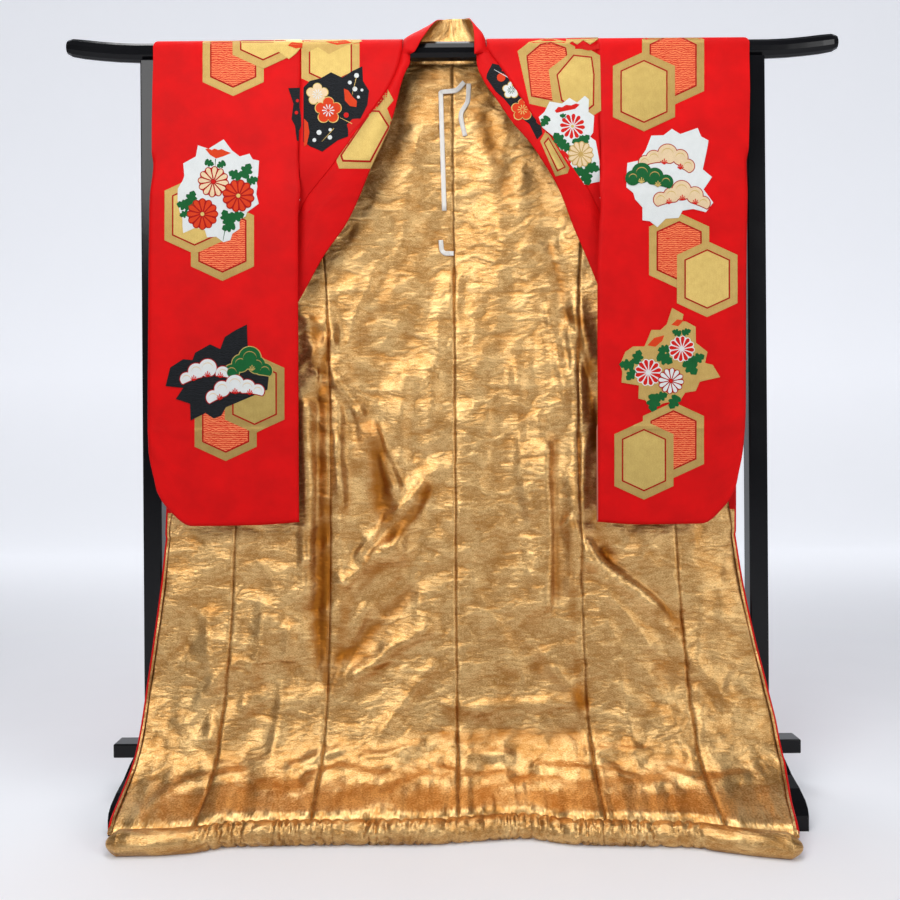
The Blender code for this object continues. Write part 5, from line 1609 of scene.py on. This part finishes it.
@dataclass(frozen=True)
class Pine(Mark):
    """A cloud-shaped pine: lobes (x, y, radius) over a curved base line, with sprigs."""

    lobes: Sequence[tuple[float, float, float]]
    base: Sequence[Point]
    fill: Thread
    edge: Thread
    sprigs: Sequence[Point]
    sprig: Thread
    layer: float

    EDGE, INNER, CRESCENT = 0.9, 0.62, 0.9
    LEANS = (-0.9, -0.45, 0.0, 0.45, 0.9)
    REACH, SHORTER, NEEDLE = 5.5, 2.2, 1.1
    CORNERS = 30
    FILL, ARC, CUT, SPRIG, LOBE = 1.2, 2.4, 3.2, 4.2, 0.1  # layers over the mark's own

    def regions(self) -> Iterator[Region]:
        """All lobes' edges, all fills over them, a crescent in each lobe, then the sprigs."""
        line = np.polyfit(*np.array(self.base).T, 2)
        arc = {Thread.WHITE: Thread.BEIGE, Thread.BEIGE: Thread.GOLD_PALE}.get(self.fill, Thread.GOLD)
        angle = math.tau * np.arange(self.CORNERS) / self.CORNERS
        for grow, part, drop, thread, step in (
            (self.EDGE, 1.0, 0.0, self.edge, 0.0), (0.0, 1.0, 0.0, self.fill, self.FILL),
            (0.0, self.INNER, 0.0, arc, self.ARC), (0.0, self.INNER, self.CRESCENT, self.fill, self.CUT),
        ):
            for k, (x, y, radius) in enumerate(self.lobes):
                size = radius * part + grow
                outline = np.stack([x + size * np.cos(angle), y + drop + size * np.sin(angle)], axis=-1)
                outline[:, 1] = np.minimum(outline[:, 1], np.polyval(line, outline[:, 0]) + grow)
                yield Region(outline, thread, self.layer + step + self.LOBE * k)
        for x, y in self.sprigs:
            for lean in self.LEANS:
                reach = self.REACH - self.SHORTER * abs(lean)
                tip = (x + reach * math.sin(lean), y - reach * math.cos(lean))
                yield from Stroke((x, y), tip, self.NEEDLE, self.sprig, self.layer + self.SPRIG).regions()


@dataclass(frozen=True)
class Leaf(Mark):
    """A lobed chrysanthemum leaf that points at this bearing, in degrees down from the right."""

    centre: Point
    size: float
    bearing: float
    layer: float
    thread: Thread = Thread.GREEN

    HALF = (
        (-0.9, 0.04), (-0.85, 0.42), (-0.60, 0.70), (-0.34, 0.62), (-0.22, 0.42), (-0.02, 0.72),
        (0.26, 0.74), (0.38, 0.40), (0.66, 0.46), (1.0, 0.04),
    )
    SCALE = 1.12

    def regions(self) -> Iterator[Region]:
        """The half outline and its mirror image, turned to the bearing."""
        half = np.array(self.HALF)
        outline = np.concatenate([half, half[::-1] * (1, -1)]) * self.size * self.SCALE
        turn = math.radians(self.bearing)
        spin = np.array([[math.cos(turn), math.sin(turn)], [-math.sin(turn), math.cos(turn)]])
        yield Region(outline @ spin + np.array(self.centre), self.thread, self.layer)


@dataclass
class Figures:
    """The woven figures on one cloth: each region a thin closed piece on the cloth's own form."""

    name: str
    skin: Callable[[Array], Array]
    clearance: float

    SPACING = 2.3  # pixels between neighbouring points
    STEP, PROUD, SUNK = 0.00016, 0.0002, 0.0005  # rise of a layer, of the lowest, and depth of the back
    SMALL = 0.001

    def fill(self, outline: Array) -> tuple[Array, Array]:
        """Points and triangles of one outline, in pixels with y up, with a lattice of points inside."""
        after = np.roll(outline, -1, axis=0)
        parts = np.maximum(np.ceil(np.linalg.norm(after - outline, axis=1) / self.SPACING), 1).astype(int)
        start = np.repeat(outline, parts, axis=0)
        share = np.concatenate([np.arange(n) / n for n in parts])[:, None]
        edge = start + (np.repeat(after, parts, axis=0) - start) * share
        low, high = edge.min(axis=0), edge.max(axis=0)
        x, y = np.meshgrid(*(np.arange(low[k] + 1.1, high[k], self.SPACING) for k in (0, 1)))
        inner = np.stack([x.ravel(), y.ravel()], axis=-1)
        first, last = edge[None], np.roll(edge, -1, axis=0)[None]
        spans = (first[..., 1] > inner[:, None, 1]) != (last[..., 1] > inner[:, None, 1])
        rise = np.where(last[..., 1] == first[..., 1], 1.0, last[..., 1] - first[..., 1])
        crossing = first[..., 0] + (inner[:, None, 1] - first[..., 1]) * (last[..., 0] - first[..., 0]) / rise
        inside = (spans & (inner[:, None, 0] < crossing)).sum(axis=1) % 2 == 1
        points = np.concatenate([edge, inner[inside]]) * (1, -1)
        made = delaunay_2d_cdt(points.tolist(), [], [list(range(len(edge)))], 1, 1e-4)
        return np.array(made[0]), np.array(made[2])

    def build(self, marks: Sequence[Mark], threads: dict[Thread, bpy.types.Material]) -> bpy.types.Object:
        """Build the mesh of all regions of these marks."""
        regions = [region for mark in marks for region in mark.regions()]
        filled = [self.fill(region.outline) for region in regions]
        counts = np.array([len(points) for points, _ in filled])
        starts = np.concatenate([[0], np.cumsum(counts)])[:-1]
        triangles = [faces + start for (_, faces), start in zip(filled, starts)]
        pixels = np.concatenate([points for points, _ in filled]) * (1, -1)
        flat = seen(pixels, self.skin)
        small = self.SMALL
        by_across = self.skin(flat + (small, 0)) - self.skin(flat - (small, 0))
        by_run = self.skin(flat + (0, small)) - self.skin(flat - (0, small))
        outward = np.cross(by_across, by_run)
        outward /= np.linalg.norm(outward, axis=1, keepdims=True)
        layer = np.repeat([region.layer for region in regions], counts)
        place = self.skin(flat)
        front = place + outward * (self.clearance + self.PROUD + self.STEP * layer)[:, None]
        behind = place + outward * (self.clearance - self.SUNK)
        total = len(place)
        sides = [rims(faces) for faces in triangles]
        rim = [np.stack([e[:, 1], e[:, 0], e[:, 0] + total, e[:, 1] + total], axis=-1) for e in sides]
        used = sorted({region.thread for region in regions}, key=lambda thread: thread.name)
        number = [used.index(region.thread) for region in regions]
        faces = [*triangles, *(part[:, ::-1] + total for part in triangles), *rim]
        made = mesh_object(self.name, np.concatenate([front, behind]), faces)
        made.data.shade_flat()
        numbers = np.repeat(number * 3, [len(part) for part in faces])
        paint(made, [threads[thread] for thread in used], numbers)
        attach(made, ROOT)
        log.info("%s: %d regions, %d triangles", self.name, len(regions), sum(map(len, triangles)))
        return made


# Figures on the sleeve on the viewer's left
LEFT_SLEEVE: tuple[Mark, ...] = (
    Hexagon(233.3, 96.3, Thread.RED_WAVE, 0),
    Hexagon(263.2, 69.2, Thread.GOLD_PALE, 3),
    Patch((
        (274, 48), (280, 53), (289, 59.5), (296, 54), (302.5, 46), (302.5, 30), (274, 30),
    ), Thread.GOLD_PALE, 6),
    Patch(((288, 46), (296, 49), (302.5, 48), (302.5, 44), (292, 43)), Thread.ORANGE, 7),
    Hexagon(222.6, 281.0, Thread.RED_WAVE, 0, 63, 80),
    Hexagon(194.8, 254.2, Thread.GOLD_PALE, 3, 60, 77),
    Patch((
        (223.9, 139.8), (231.9, 150.6), (240, 156.9), (249.7, 154.1), (252.9, 159.7), (259.2, 161.1),
        (258.2, 175.9), (256.7, 181.5), (257.5, 187), (256.4, 194), (258.9, 203.9), (247.3, 212.3),
        (245.9, 216.5), (239.6, 220), (239.9, 229), (232.6, 234), (230.5, 240.4), (223.7, 242.5),
        (216.4, 236.9), (207.3, 237.6), (205.2, 230.6), (196.1, 227.8), (183.5, 233.4), (182.8, 226.4),
        (182.8, 219.3), (180, 212.3), (177.9, 200.4), (178.1, 189.2), (183.5, 180.1), (184.6, 175.9),
        (183.5, 163.9), (196.1, 156.9), (198.2, 145.7), (208.7, 149.2),
    ), Thread.WHITE, 6),
    Patch((
        (205.5, 149.5), (209, 149), (212, 150.5), (215, 149), (218.5, 150.5), (222, 149.5), (226, 151.5),
        (231.5, 153.4), (224, 156.6), (216.4, 159), (210.5, 155.5),
    ), Thread.ORANGE, 7),
    Leaf((209.5, 163.5), 4.5, 20, 7),
    Leaf((221.5, 165), 4.5, 150, 7),
    Stroke((215.3, 167.5), (215.8, 159.5), 0.9, Thread.GREEN, 7),
    Leaf((246.5, 171.5), 7.5, -62, 7),
    Leaf((235.5, 175.5), 6.5, 205, 7),
    Leaf((252.5, 181), 5.5, -20, 7),
    Leaf((191.5, 198.5), 7.0, -70, 7),
    Leaf((184.0, 205.5), 6.5, 190, 7),
    Leaf((184.5, 214.5), 4.5, 160, 7),
    Leaf((226.5, 217.5), 7.0, -110, 7),
    Leaf((237.0, 216.5), 7.0, -15, 7),
    Leaf((229.0, 227.0), 6.5, 160, 7),
    Stroke((223.3, 241), (225.5, 229), 0.9, Thread.GREEN, 7),
    Mum((213.6, 182.2), 15.4, Thread.BEIGE, Thread.LINE, Thread.RED, 7),
    Mum((202.7, 214.4), 15.6, Thread.ORANGE, Thread.LINE, Thread.GOLD_PALE, 7, turn=0.0),
    Mum((238.6, 196.2), 16.0, Thread.ORANGE, Thread.LINE, Thread.GOLD_PALE, 10, turn=0.2),
    Hexagon(225.8, 461.0, Thread.RED_WAVE, 0, 62, 78),
    Hexagon(254.7, 433.3, Thread.GOLD_PALE, 3, 59.5, 79),
    Patch((
        (165.9, 386.1), (170.5, 367.6), (183.5, 359.3), (192.7, 360.2), (195.5, 352.8), (210.3, 344.5),
        (220.5, 349.1), (225.1, 337.1), (235.3, 330.6), (246.9, 324.7), (247.7, 345.4), (269.5, 373.2),
        (267.6, 389.8), (226, 407.4), (221.4, 415.7), (214, 418.5), (205.7, 413), (190.9, 420.4),
        (190.3, 403.7), (176.1, 399.1), (183.5, 388),
    ), Thread.BLACK, 6),
    Pine(
        ((232, 372, 7.5), (265, 371, 7.5), (240.8, 363.5, 8.5), (257, 365, 8.5), (250, 358, 11)),
        ((222, 378), (248, 374), (274, 377)),
        Thread.GREEN, Thread.GOLD_PALE, ((252.3, 371),), Thread.GOLD_PALE, 7,
    ),
    Pine(
        ((187, 379, 6.5), (223, 373.5, 7.0), (196.5, 371.5, 8.0), (208, 368, 8.8)),
        ((180, 386), (203, 377), (230, 378)),
        Thread.WHITE, Thread.LINE, ((194.2, 381), (208, 377), (220.7, 378)), Thread.RED, 7,
    ),
    Pine(
        ((213.5, 397.5, 7.0), (258, 391, 6.5), (222.5, 389, 7.8), (247.5, 387.5, 7.8), (235.3, 384, 9.0)),
        ((206, 406), (234, 394), (266, 397)),
        Thread.WHITE, Thread.LINE, ((220.1, 400), (235.3, 394), (250, 395)), Thread.RED, 9,
    ),
    Patch((
        (288.3, 88.4), (302.8, 87.9), (302.8, 141.5), (296.9, 141), (295, 126), (291.5, 119.3),
        (293.5, 104),
    ), Thread.BLACK, 0),
    Disc((297.5, 101), 1.7, Thread.RED, 1),
    Disc((296.5, 113), 1.9, Thread.RED, 1),
)

# Figures on the sleeve on the viewer's right
RIGHT_SLEEVE: tuple[Mark, ...] = (
    Hexagon(673.0, 105.5, Thread.RED_WAVE, 0, 62, 80),
    Hexagon(643.8, 131.6, Thread.GOLD_PALE, 3, 62, 79.5),
    Hexagon(679.0, 289.0, Thread.RED_WAVE, 0, 60, 76),
    Hexagon(707.0, 317.2, Thread.GOLD_PALE, 3, 60.5, 76),
    Patch((
        (671.7, 129.3), (680, 134.5), (697.4, 128.4), (700.9, 136.9), (708.2, 140.9), (706.6, 150.5),
        (702.5, 169.8), (711.7, 177.5), (703.3, 189.9), (713, 202.8), (705.8, 212.4), (692.9, 209.2),
        (682.4, 210.8), (678.4, 218.1), (665.6, 218.9), (657.2, 227.4), (649.5, 221.3), (642.3, 220.5),
        (642.3, 207.6), (635, 199.6), (633.1, 193.1), (626.2, 187.5), (626.7, 169.8), (627.3, 163.4),
        (638.2, 161), (645.5, 150.5), (651.1, 136.1), (663.2, 135.7),
    ), Thread.WHITE, 6),
    Pine(
        (
            (644.5, 162.5, 6.0), (687.5, 166.5, 6.5), (653.5, 158.6, 7.4),
            (680, 157.8, 7.4), (667.2, 154.5, 9.6),
        ),
        ((638, 169), (666, 163), (690, 174)),
        Thread.BEIGE, Thread.LINE, ((664, 165), (680.3, 170)), Thread.RED, 7,
    ),
    Pine(
        ((632.6, 178.5, 6.6), (665.5, 182.7, 6.6), (654.3, 177.2, 8.0), (641.4, 173.5, 9.2)),
        ((626, 187), (645, 184), (672, 189.5)),
        Thread.GREEN, Thread.GREEN, ((641.1, 184), (657.5, 187.5)), Thread.GOLD_PALE, 14,
    ),
    Pine(
        ((660.5, 200, 7.0), (703, 203.6, 6.6), (671, 196, 7.6), (694.5, 195.6, 8.0), (681.3, 190.8, 9.4)),
        ((654, 208), (682, 202), (709, 210.5)),
        Thread.BEIGE, Thread.LINE, ((668.8, 204.5), (682, 201), (695, 205)), Thread.RED, 7,
    ),
    Hexagon(673.3, 478.0, Thread.RED_WAVE, 0, 61, 76),
    Hexagon(643.8, 499.6, Thread.GOLD_PALE, 3, 59, 79),
    Patch((
        (671.9, 308.1), (683.3, 314.5), (681.8, 321.4), (686.1, 321.8), (695.3, 327), (695.6, 342.8),
        (707.1, 352), (704.8, 363.1), (712.4, 365), (719.8, 377.2), (699.4, 381.8), (695.6, 391),
        (684.9, 392.8), (680.3, 400.2), (663.5, 403.2), (651.2, 409.4), (645.1, 400.2), (638.2, 398.6),
        (638.7, 385.6), (621.4, 382.6), (622.1, 371.9), (619.8, 365), (625.2, 352), (632.8, 346.6),
        (644.3, 346.6), (651.2, 330.1), (660.4, 330.1), (666.5, 324.4),
    ), Thread.GOLD, 6),
    Patch(((647, 345.5), (654, 338), (664, 335.5), (662, 341), (655, 347)), Thread.ORANGE, 7),
    Patch(((671, 325), (677, 319.5), (683.5, 320.5), (678, 326.5)), Thread.ORANGE, 7),
    Leaf((676.5, 332.8), 4.5, 200, 7),
    Leaf((686.0, 332.1), 4.5, -20, 7),
    Leaf((663.5, 349.5), 5.5, 170, 7),
    Leaf((664.5, 358.5), 8.0, 30, 7),
    Leaf((626.9, 365.0), 7.0, 185, 7),
    Leaf((637.4, 357.5), 7.0, -75, 7),
    Leaf((630.8, 375.0), 6.0, 130, 7),
    Leaf((690.5, 367.0), 8.5, 55, 7),
    Leaf((697.6, 358.5), 6.5, -25, 7),
    Leaf((653.5, 402.5), 8.5, 100, 7),
    Leaf((661.0, 396.5), 6.0, -20, 7),
    Leaf((673.9, 402.0), 7.0, 120, 7),
    Mum((681.4, 348.9), 13.0, Thread.RED, Thread.WHITE, Thread.WHITE, 7),
    Mum((648.1, 372.6), 13.5, Thread.RED, Thread.WHITE, Thread.WHITE, 7, turn=0.3),
    Mum((670.6, 381.0), 13.0, Thread.WHITE, Thread.LINE, Thread.RED, 10),
)

# Figures on the turned-back front on the viewer's left
LEFT_FRONT: tuple[Mark, ...] = (
    Hexagon(330.5, 92.0, Thread.GOLD_PALE, 0, 58, 80),
    Patch((
        (303.5, 40), (303.5, 55), (318, 47.5), (329, 54.5), (346, 46), (362, 42), (352, 30), (303.5, 30),
    ), Thread.GOLD, 3),
    Patch(((326, 42.5), (337, 45.5), (352, 43.5), (346, 41)), Thread.ORANGE, 4),
    Patch((
        (303.6, 87.9), (309.9, 81.4), (320.8, 78.7), (331.1, 72.7), (342.5, 78.1), (352.2, 71.6),
        (362.5, 66.7), (363.1, 81.4), (369.1, 91.1), (367.5, 105.2), (360.9, 118.3), (347.9, 124.8),
        (348.4, 136.7), (338.1, 140.5), (322.4, 151.9), (309.9, 146.5), (303.6, 142),
    ), Thread.BLACK, 3),
    Patch(((347, 125), (352.5, 119.5), (358.5, 119), (362, 121), (356, 127), (349.5, 135)), Thread.RED, 4),
    Disc((356.6, 76), 2.5, Thread.WHITE, 4),
    Disc((349.9, 83), 2.0, Thread.WHITE, 4),
    Disc((355, 89.5), 2.5, Thread.WHITE, 4),
    Disc((362, 90.5), 1.5, Thread.WHITE, 4),
    Disc((319.2, 132.9), 2.6, Thread.WHITE, 4),
    Disc((330, 137.8), 2.3, Thread.WHITE, 4),
    Disc((330.3, 130.2), 1.7, Thread.WHITE, 4),
    Disc((314.5, 140.5), 2.0, Thread.WHITE, 4),
    Disc((358.5, 97.5), 1.6, Thread.WHITE, 4),
    Stroke((352, 96), (356.4, 78), 0.6, Thread.GOLD_PALE, 4),
    Stroke((322, 142), (334, 129), 0.6, Thread.GOLD_PALE, 4),
    Stroke((340, 118), (352, 124), 0.7, Thread.GOLD_PALE, 4),
    Plum((317.5, 94.8), 10.5, Thread.BEIGE, Thread.GOLD_PALE, Thread.WHITE, 4),
    Patch((
        (344, 89), (348.5, 91), (352.5, 97), (357, 101.5), (356.5, 107.5), (350, 106.5), (345, 101),
    ), Thread.ORANGE, 5),
    Disc((346.3, 115.5), 2.7, Thread.RED, 4),
    Plum((328.4, 111.0), 13.0, Thread.ORANGE, Thread.GOLD_PALE, Thread.WHITE, 6),
    Patch(((304.2, 119), (308, 123), (309.5, 133), (307, 145), (304.2, 147)), Thread.ORANGE, 4),
)

# Figures on the turned-back front on the viewer's right
RIGHT_FRONT: tuple[Mark, ...] = (
    Patch((
        (517.5, 51.4), (529, 42.5), (549, 38.5), (566, 42), (575, 47), (577, 100), (562, 112),
        (547.5, 108.2), (529.4, 104.1),
    ), Thread.GOLD, 0),
    Patch((
        (526.3, 56.1), (540.2, 44.2), (551, 42.3), (566.1, 47.8), (568, 60), (570, 98), (551.6, 101),
        (530.9, 96.9),
    ), Thread.LINE, 1),
    Patch((
        (527.7, 56.8), (540.8, 45.8), (551, 43.9), (564.8, 48.9), (566.5, 60), (568.5, 96), (551.6, 99.4),
        (532, 95.7),
    ), Thread.RED_WAVE, 2),
    Patch((
        (548.5, 70), (566, 56.6), (574.3, 49.4), (588.8, 49.4), (600, 56), (601, 111), (593, 116),
        (575, 122), (552.6, 102),
    ), Thread.GOLD, 3),
    Patch((
        (556.3, 75.2), (573.3, 55), (591.9, 57.1), (594.5, 75), (594, 106), (588.8, 110.3), (575, 112),
        (560.9, 101),
    ), Thread.LINE, 4),
    Patch((
        (557.8, 75.8), (574, 56.6), (590.6, 58.4), (593, 75), (592.5, 105), (588, 108.6), (575, 110),
        (562.2, 100),
    ), Thread.GOLD_PALE, 5),
    Patch((
        (566, 46), (572, 42), (577, 45), (583, 41), (590, 45), (598, 40), (600, 30), (566, 30),
    ), Thread.GOLD, 6),
    Patch(((578, 48.5), (584, 45.5), (592, 47.5), (599, 43.5), (599, 49.5), (588, 51)), Thread.RED, 7),
    Patch((
        (549.5, 102.1), (561.9, 104.1), (569.2, 98.4), (576.9, 103.1), (584.7, 96.4), (588.8, 100),
        (588.3, 112.4), (594, 116.5), (592.9, 133), (589.8, 137.2), (595.5, 141.3), (599.1, 160.9),
        (599.7, 181.6), (579.5, 185.7), (575.4, 178.5), (569.2, 167.1), (552.6, 136.1), (542.3, 127.9),
        (538.7, 117.5), (544.4, 112.4),
    ), Thread.WHITE, 6),
    Patch((
        (554.5, 111.5), (558, 107.5), (562, 107.8), (566, 105.5), (571, 106), (576, 104), (579.5, 105.3),
        (575, 109.5), (565, 111.5), (556.5, 113.5),
    ), Thread.RED, 7),
    Leaf((544.9, 121.7), 5.5, 125, 7),
    Leaf((563.0, 116.5), 3.2, 190, 7),
    Leaf((558.9, 140.3), 7.5, 235, 7),
    Leaf((566.0, 147.5), 6.0, 20, 7),
    Leaf((577.5, 141.0), 5.5, 160, 7),
    Leaf((584.2, 140.3), 6.0, -40, 7),
    Leaf((577.0, 172.0), 6.5, 150, 7),
    Leaf((585.7, 177.0), 8.0, 70, 7),
    Leaf((592.0, 167.5), 7.0, 20, 7),
    Patch(((560.5, 149), (566, 153), (572, 160), (570, 164.5), (566, 158), (561.5, 154)), Thread.RED, 7),
    Mum((572.3, 126.8), 13.0, Thread.RED, Thread.WHITE, Thread.GOLD_PALE, 7),
    Mum((580.5, 154.7), 12.8, Thread.BEIGE, Thread.GOLD, Thread.GOLD, 8),
)

# Figures on the collar on the viewer's left: one gold hexagon that runs down the band
LEFT_COLLAR: tuple[Mark, ...] = (
    Patch((
        (369.6, 111.8), (387, 87.9), (393.5, 100.4), (387, 108.5), (392.4, 122.6), (372, 166),
        (370.7, 168.7), (339.2, 168.7), (336, 159.5),
    ), Thread.GOLD, 0),
    Patch((
        (371.4, 110.6), (379.6, 110.9), (389.3, 126.4), (388.6, 129), (370.6, 162.6), (342.6, 162),
        (340.4, 156),
    ), Thread.LINE, 1),
    Patch((
        (372.2, 112.4), (378.8, 112.6), (387.6, 127.2), (369.6, 160.6), (343.8, 160), (342.3, 156),
    ), Thread.GOLD_PALE, 2),
    Patch(((376.5, 103.5), (382.2, 95.5), (384, 99.5), (379, 106)), Thread.LINE, 1),
)

# Figures on the collar on the viewer's right: a black ground with plums above a gold hexagon
RIGHT_COLLAR: tuple[Mark, ...] = (
    Patch((
        (487, 74.2), (492.2, 63.8), (501, 65.9), (505.1, 72.1), (511, 76), (516, 86), (527, 101),
        (536, 114), (540, 122), (542.3, 134.1), (537.1, 139.8), (529, 124), (518, 116), (504.1, 99),
        (495.8, 91.7), (486.5, 78.3),
    ), Thread.BLACK, 0),
    Disc((501.0, 77.8), 4.3, Thread.ORANGE, 1),
    Stroke((494, 70), (508, 78), 0.8, Thread.WHITE, 1),
    Plum((511.0, 90.5), 8.0, Thread.WHITE, Thread.GOLD_PALE, Thread.GREEN, 1),
    Plum((522.3, 110.2), 10.5, Thread.ORANGE, Thread.GOLD_PALE, Thread.GOLD_PALE, 4),
    Patch((
        (540.2, 141.3), (546, 130.5), (552.6, 141.3), (569.2, 168.2), (567.5, 173.3), (555.7, 176.4),
    ), Thread.GOLD, 1),
    Patch(((543.5, 143.2), (548, 137.5), (565.6, 167.6), (557.2, 171.8)), Thread.LINE, 2),
    Patch(((545, 143.8), (548.2, 140), (563.9, 167), (557.9, 169.8)), Thread.GOLD_PALE, 3),
)

# The figures by the cloth they lie on
WOVEN: dict[str, tuple[Mark, ...]] = {
    "sleeve_left": LEFT_SLEEVE, "sleeve_right": RIGHT_SLEEVE, "front_left": LEFT_FRONT,
    "front_right": RIGHT_FRONT, "collar_left": LEFT_COLLAR, "collar_right": RIGHT_COLLAR,
}


# --- scene -----------------------------------------------------------------------------------------


@dataclass(frozen=True)
class Studio:
    """Pale floor and backdrop, soft light, and a camera at the photograph's angle."""

    LENS = 36.0  # focal length and sensor width, millimetres
    WALL_FROM, WALL_ROUND, WALL_HEIGHT, FLOOR_FROM, HALF_WIDTH = 4.6, 1.4, 9.0, -9.0, 10
    # Strength of the backdrop paper's glow, which is painted light
    GLOW = 0.52
    SKY, SKY_STRENGTH = (0.80, 0.84, 0.92, 1.0), 0.20
    # (name, place, target, size, watts)
    SPOTS = (
        ("key", (-1.3, -2.5, 2.6), (0.0, 0.0, 0.8), 1.5, 52.0),
        ("fill", (2.3, -2.1, 1.5), (0.1, 0.0, 0.7), 1.2, 24.0),
        ("top", (0.1, -0.8, 3.2), (0.0, 0.0, 0.5), 1.5, 34.0),
        ("back", (-0.5, 0.9, 3.3), (0.0, -0.1, 0.6), 1.5, 26.0),
    )

    def build(self) -> None:
        """Add floor, backdrop, lights and camera."""
        self.backdrop()
        self.lights()
        lens = bpy.data.cameras.new("camera")
        lens.lens, lens.sensor_width = self.LENS, self.LENS
        camera = bpy.data.objects.new("camera", lens)
        camera.location = (CAMERA_ACROSS, POST_PLANE - CAMERA_DISTANCE, CAMERA_HEIGHT)
        camera.rotation_euler = (math.pi / 2, CAMERA_ROLL, 0.0)
        bpy.context.scene.collection.objects.link(camera)
        bpy.context.scene.camera = camera
        bpy.context.scene.view_settings.view_transform = "Standard"

    def backdrop(self) -> None:
        """A floor that curves up into a wall, its paper glowing with painted light: faint near the stand,
        strong far from it.
        """
        turn = np.linspace(0, math.pi / 2, 14)
        y = self.WALL_FROM + self.WALL_ROUND * np.sin(turn)
        y = np.concatenate([[self.FLOOR_FROM], y, [self.WALL_FROM + self.WALL_ROUND]])
        z = self.WALL_ROUND - self.WALL_ROUND * np.cos(turn)
        z = np.concatenate([[0.0], z, [self.WALL_HEIGHT]])
        x = np.linspace(-self.HALF_WIDTH, self.HALF_WIDTH, 3)
        grid = np.stack(np.broadcast_arrays(x[None], y[:, None], z[:, None]), axis=-1)
        points = grid.reshape(-1, 3)
        made = mesh_object("backdrop", points, [grid_quads(len(y), len(x))])
        tree = ShaderTree("backdrop_paper")
        place = tree.coordinate("Object")
        grain = tree.noise(place, 3.0)
        split = tree.nodes.new("ShaderNodeSeparateXYZ")
        tree.feed(split.inputs[0], place)
        away = abs(Signal(tree, split.outputs[1])).ramp(0.3, 4.5)
        # The paper's emission is painted light, weak near the stand and strong far from it
        tree.set(
            Base_Color=tree.mix(grain, (0.76, 0.77, 0.80), (0.80, 0.81, 0.84)),
            Roughness=0.85 + 0.1 * grain,
            Emission_Color=tree.mix(away, (0.13, 0.13, 0.14), (0.93, 0.95, 1.0)),
        )
        tree.shader.inputs["Emission Strength"].default_value = self.GLOW
        paint(made, [tree.material])
        made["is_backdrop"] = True

    def lights(self) -> None:
        """Soft key from the front and above, a fill, one light over it, one behind, and a pale sky."""
        for name, place, target, size, power in self.SPOTS:
            data = bpy.data.lights.new(name, "AREA")
            data.shape, data.size, data.energy = "SQUARE", size, power
            light = bpy.data.objects.new(name, data)
            light.location = place
            way = np.array(target) - np.array(place)
            yaw = math.atan2(-way[0], way[1])
            tilt = math.atan2(math.hypot(way[0], way[1]), -way[2])
            light.rotation_euler = (tilt, 0.0, yaw)
            bpy.context.scene.collection.objects.link(light)
        sky = bpy.data.worlds.new("sky")
        sky.use_nodes = True
        background = sky.node_tree.nodes["Background"]
        background.inputs["Color"].default_value = self.SKY
        background.inputs["Strength"].default_value = self.SKY_STRENGTH
        bpy.context.scene.world = sky


@dataclass
class Uchikake:
    """The whole garment on its stand."""

    frame: dict

    STAND = ("beam", "post_left", "post_right", "lower_rail", "foot_left", "foot_right")

    def build(self) -> None:
        """Build every piece and finish every CAD node that keeps its shape."""
        brocade = Brocade().material("red_brocade")
        lame = Lame().material("gold_lame")
        lacquer = Lacquer().material("black_lacquer")
        tape = CottonTape().material("white_tape")
        threads = {thread: thread.value.material(f"thread_{thread.name.lower()}") for thread in Thread}
        for name in self.STAND:
            node = self.frame["nodes"][name]
            for slot in node.material_slots:
                slot.material = lacquer
        for side in Side:
            half = BodyHalf(side, brocade, lame)
            half.build()
            figures = Figures(f"front_{side.word}_figures", half.skin, OUTER_WALL)
            woven = figures.build(WOVEN[f"front_{side.word}"], threads)
            for piece in half.pieces:
                panel, *_, cloth = piece.name.split("_")
                width, length, area = CUTS[panel]
            sleeve = Sleeve(side, brocade, threads[Thread.SALMON])
            made = sleeve.build()
            figures = Figures(f"sleeve_{side.word}_figures", sleeve.skin, SLEEVE_WALL / 2)
            woven = figures.build(WOVEN[f"sleeve_{side.word}"], threads)
        collar = Collar(brocade, lame)
        band = collar.build()
        woven = []
        for side in Side:
            figures = Figures(f"collar_{side.word}_figures", collar.skin, COLLAR_WALL / 2)
            woven.append(figures.build(WOVEN[f"collar_{side.word}"], threads))
        roll = HemRoll(lame).build()
        for item in TAPES:
            item.build(tape)


def plain(box: Sequence[Sequence[float]]) -> list[list[float]]:
    """Corners of a box as plain lists of numbers."""
    return [[float(value) for value in corner] for corner in box]


def main() -> None:
    """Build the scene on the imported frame."""
    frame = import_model()
    cad_box = plain(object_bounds())
    Uchikake(frame).build()
    Studio().build()
    json.dumps({"cad": cad_box, "visual": plain(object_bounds())})


if __name__ == "__main__":
    main()
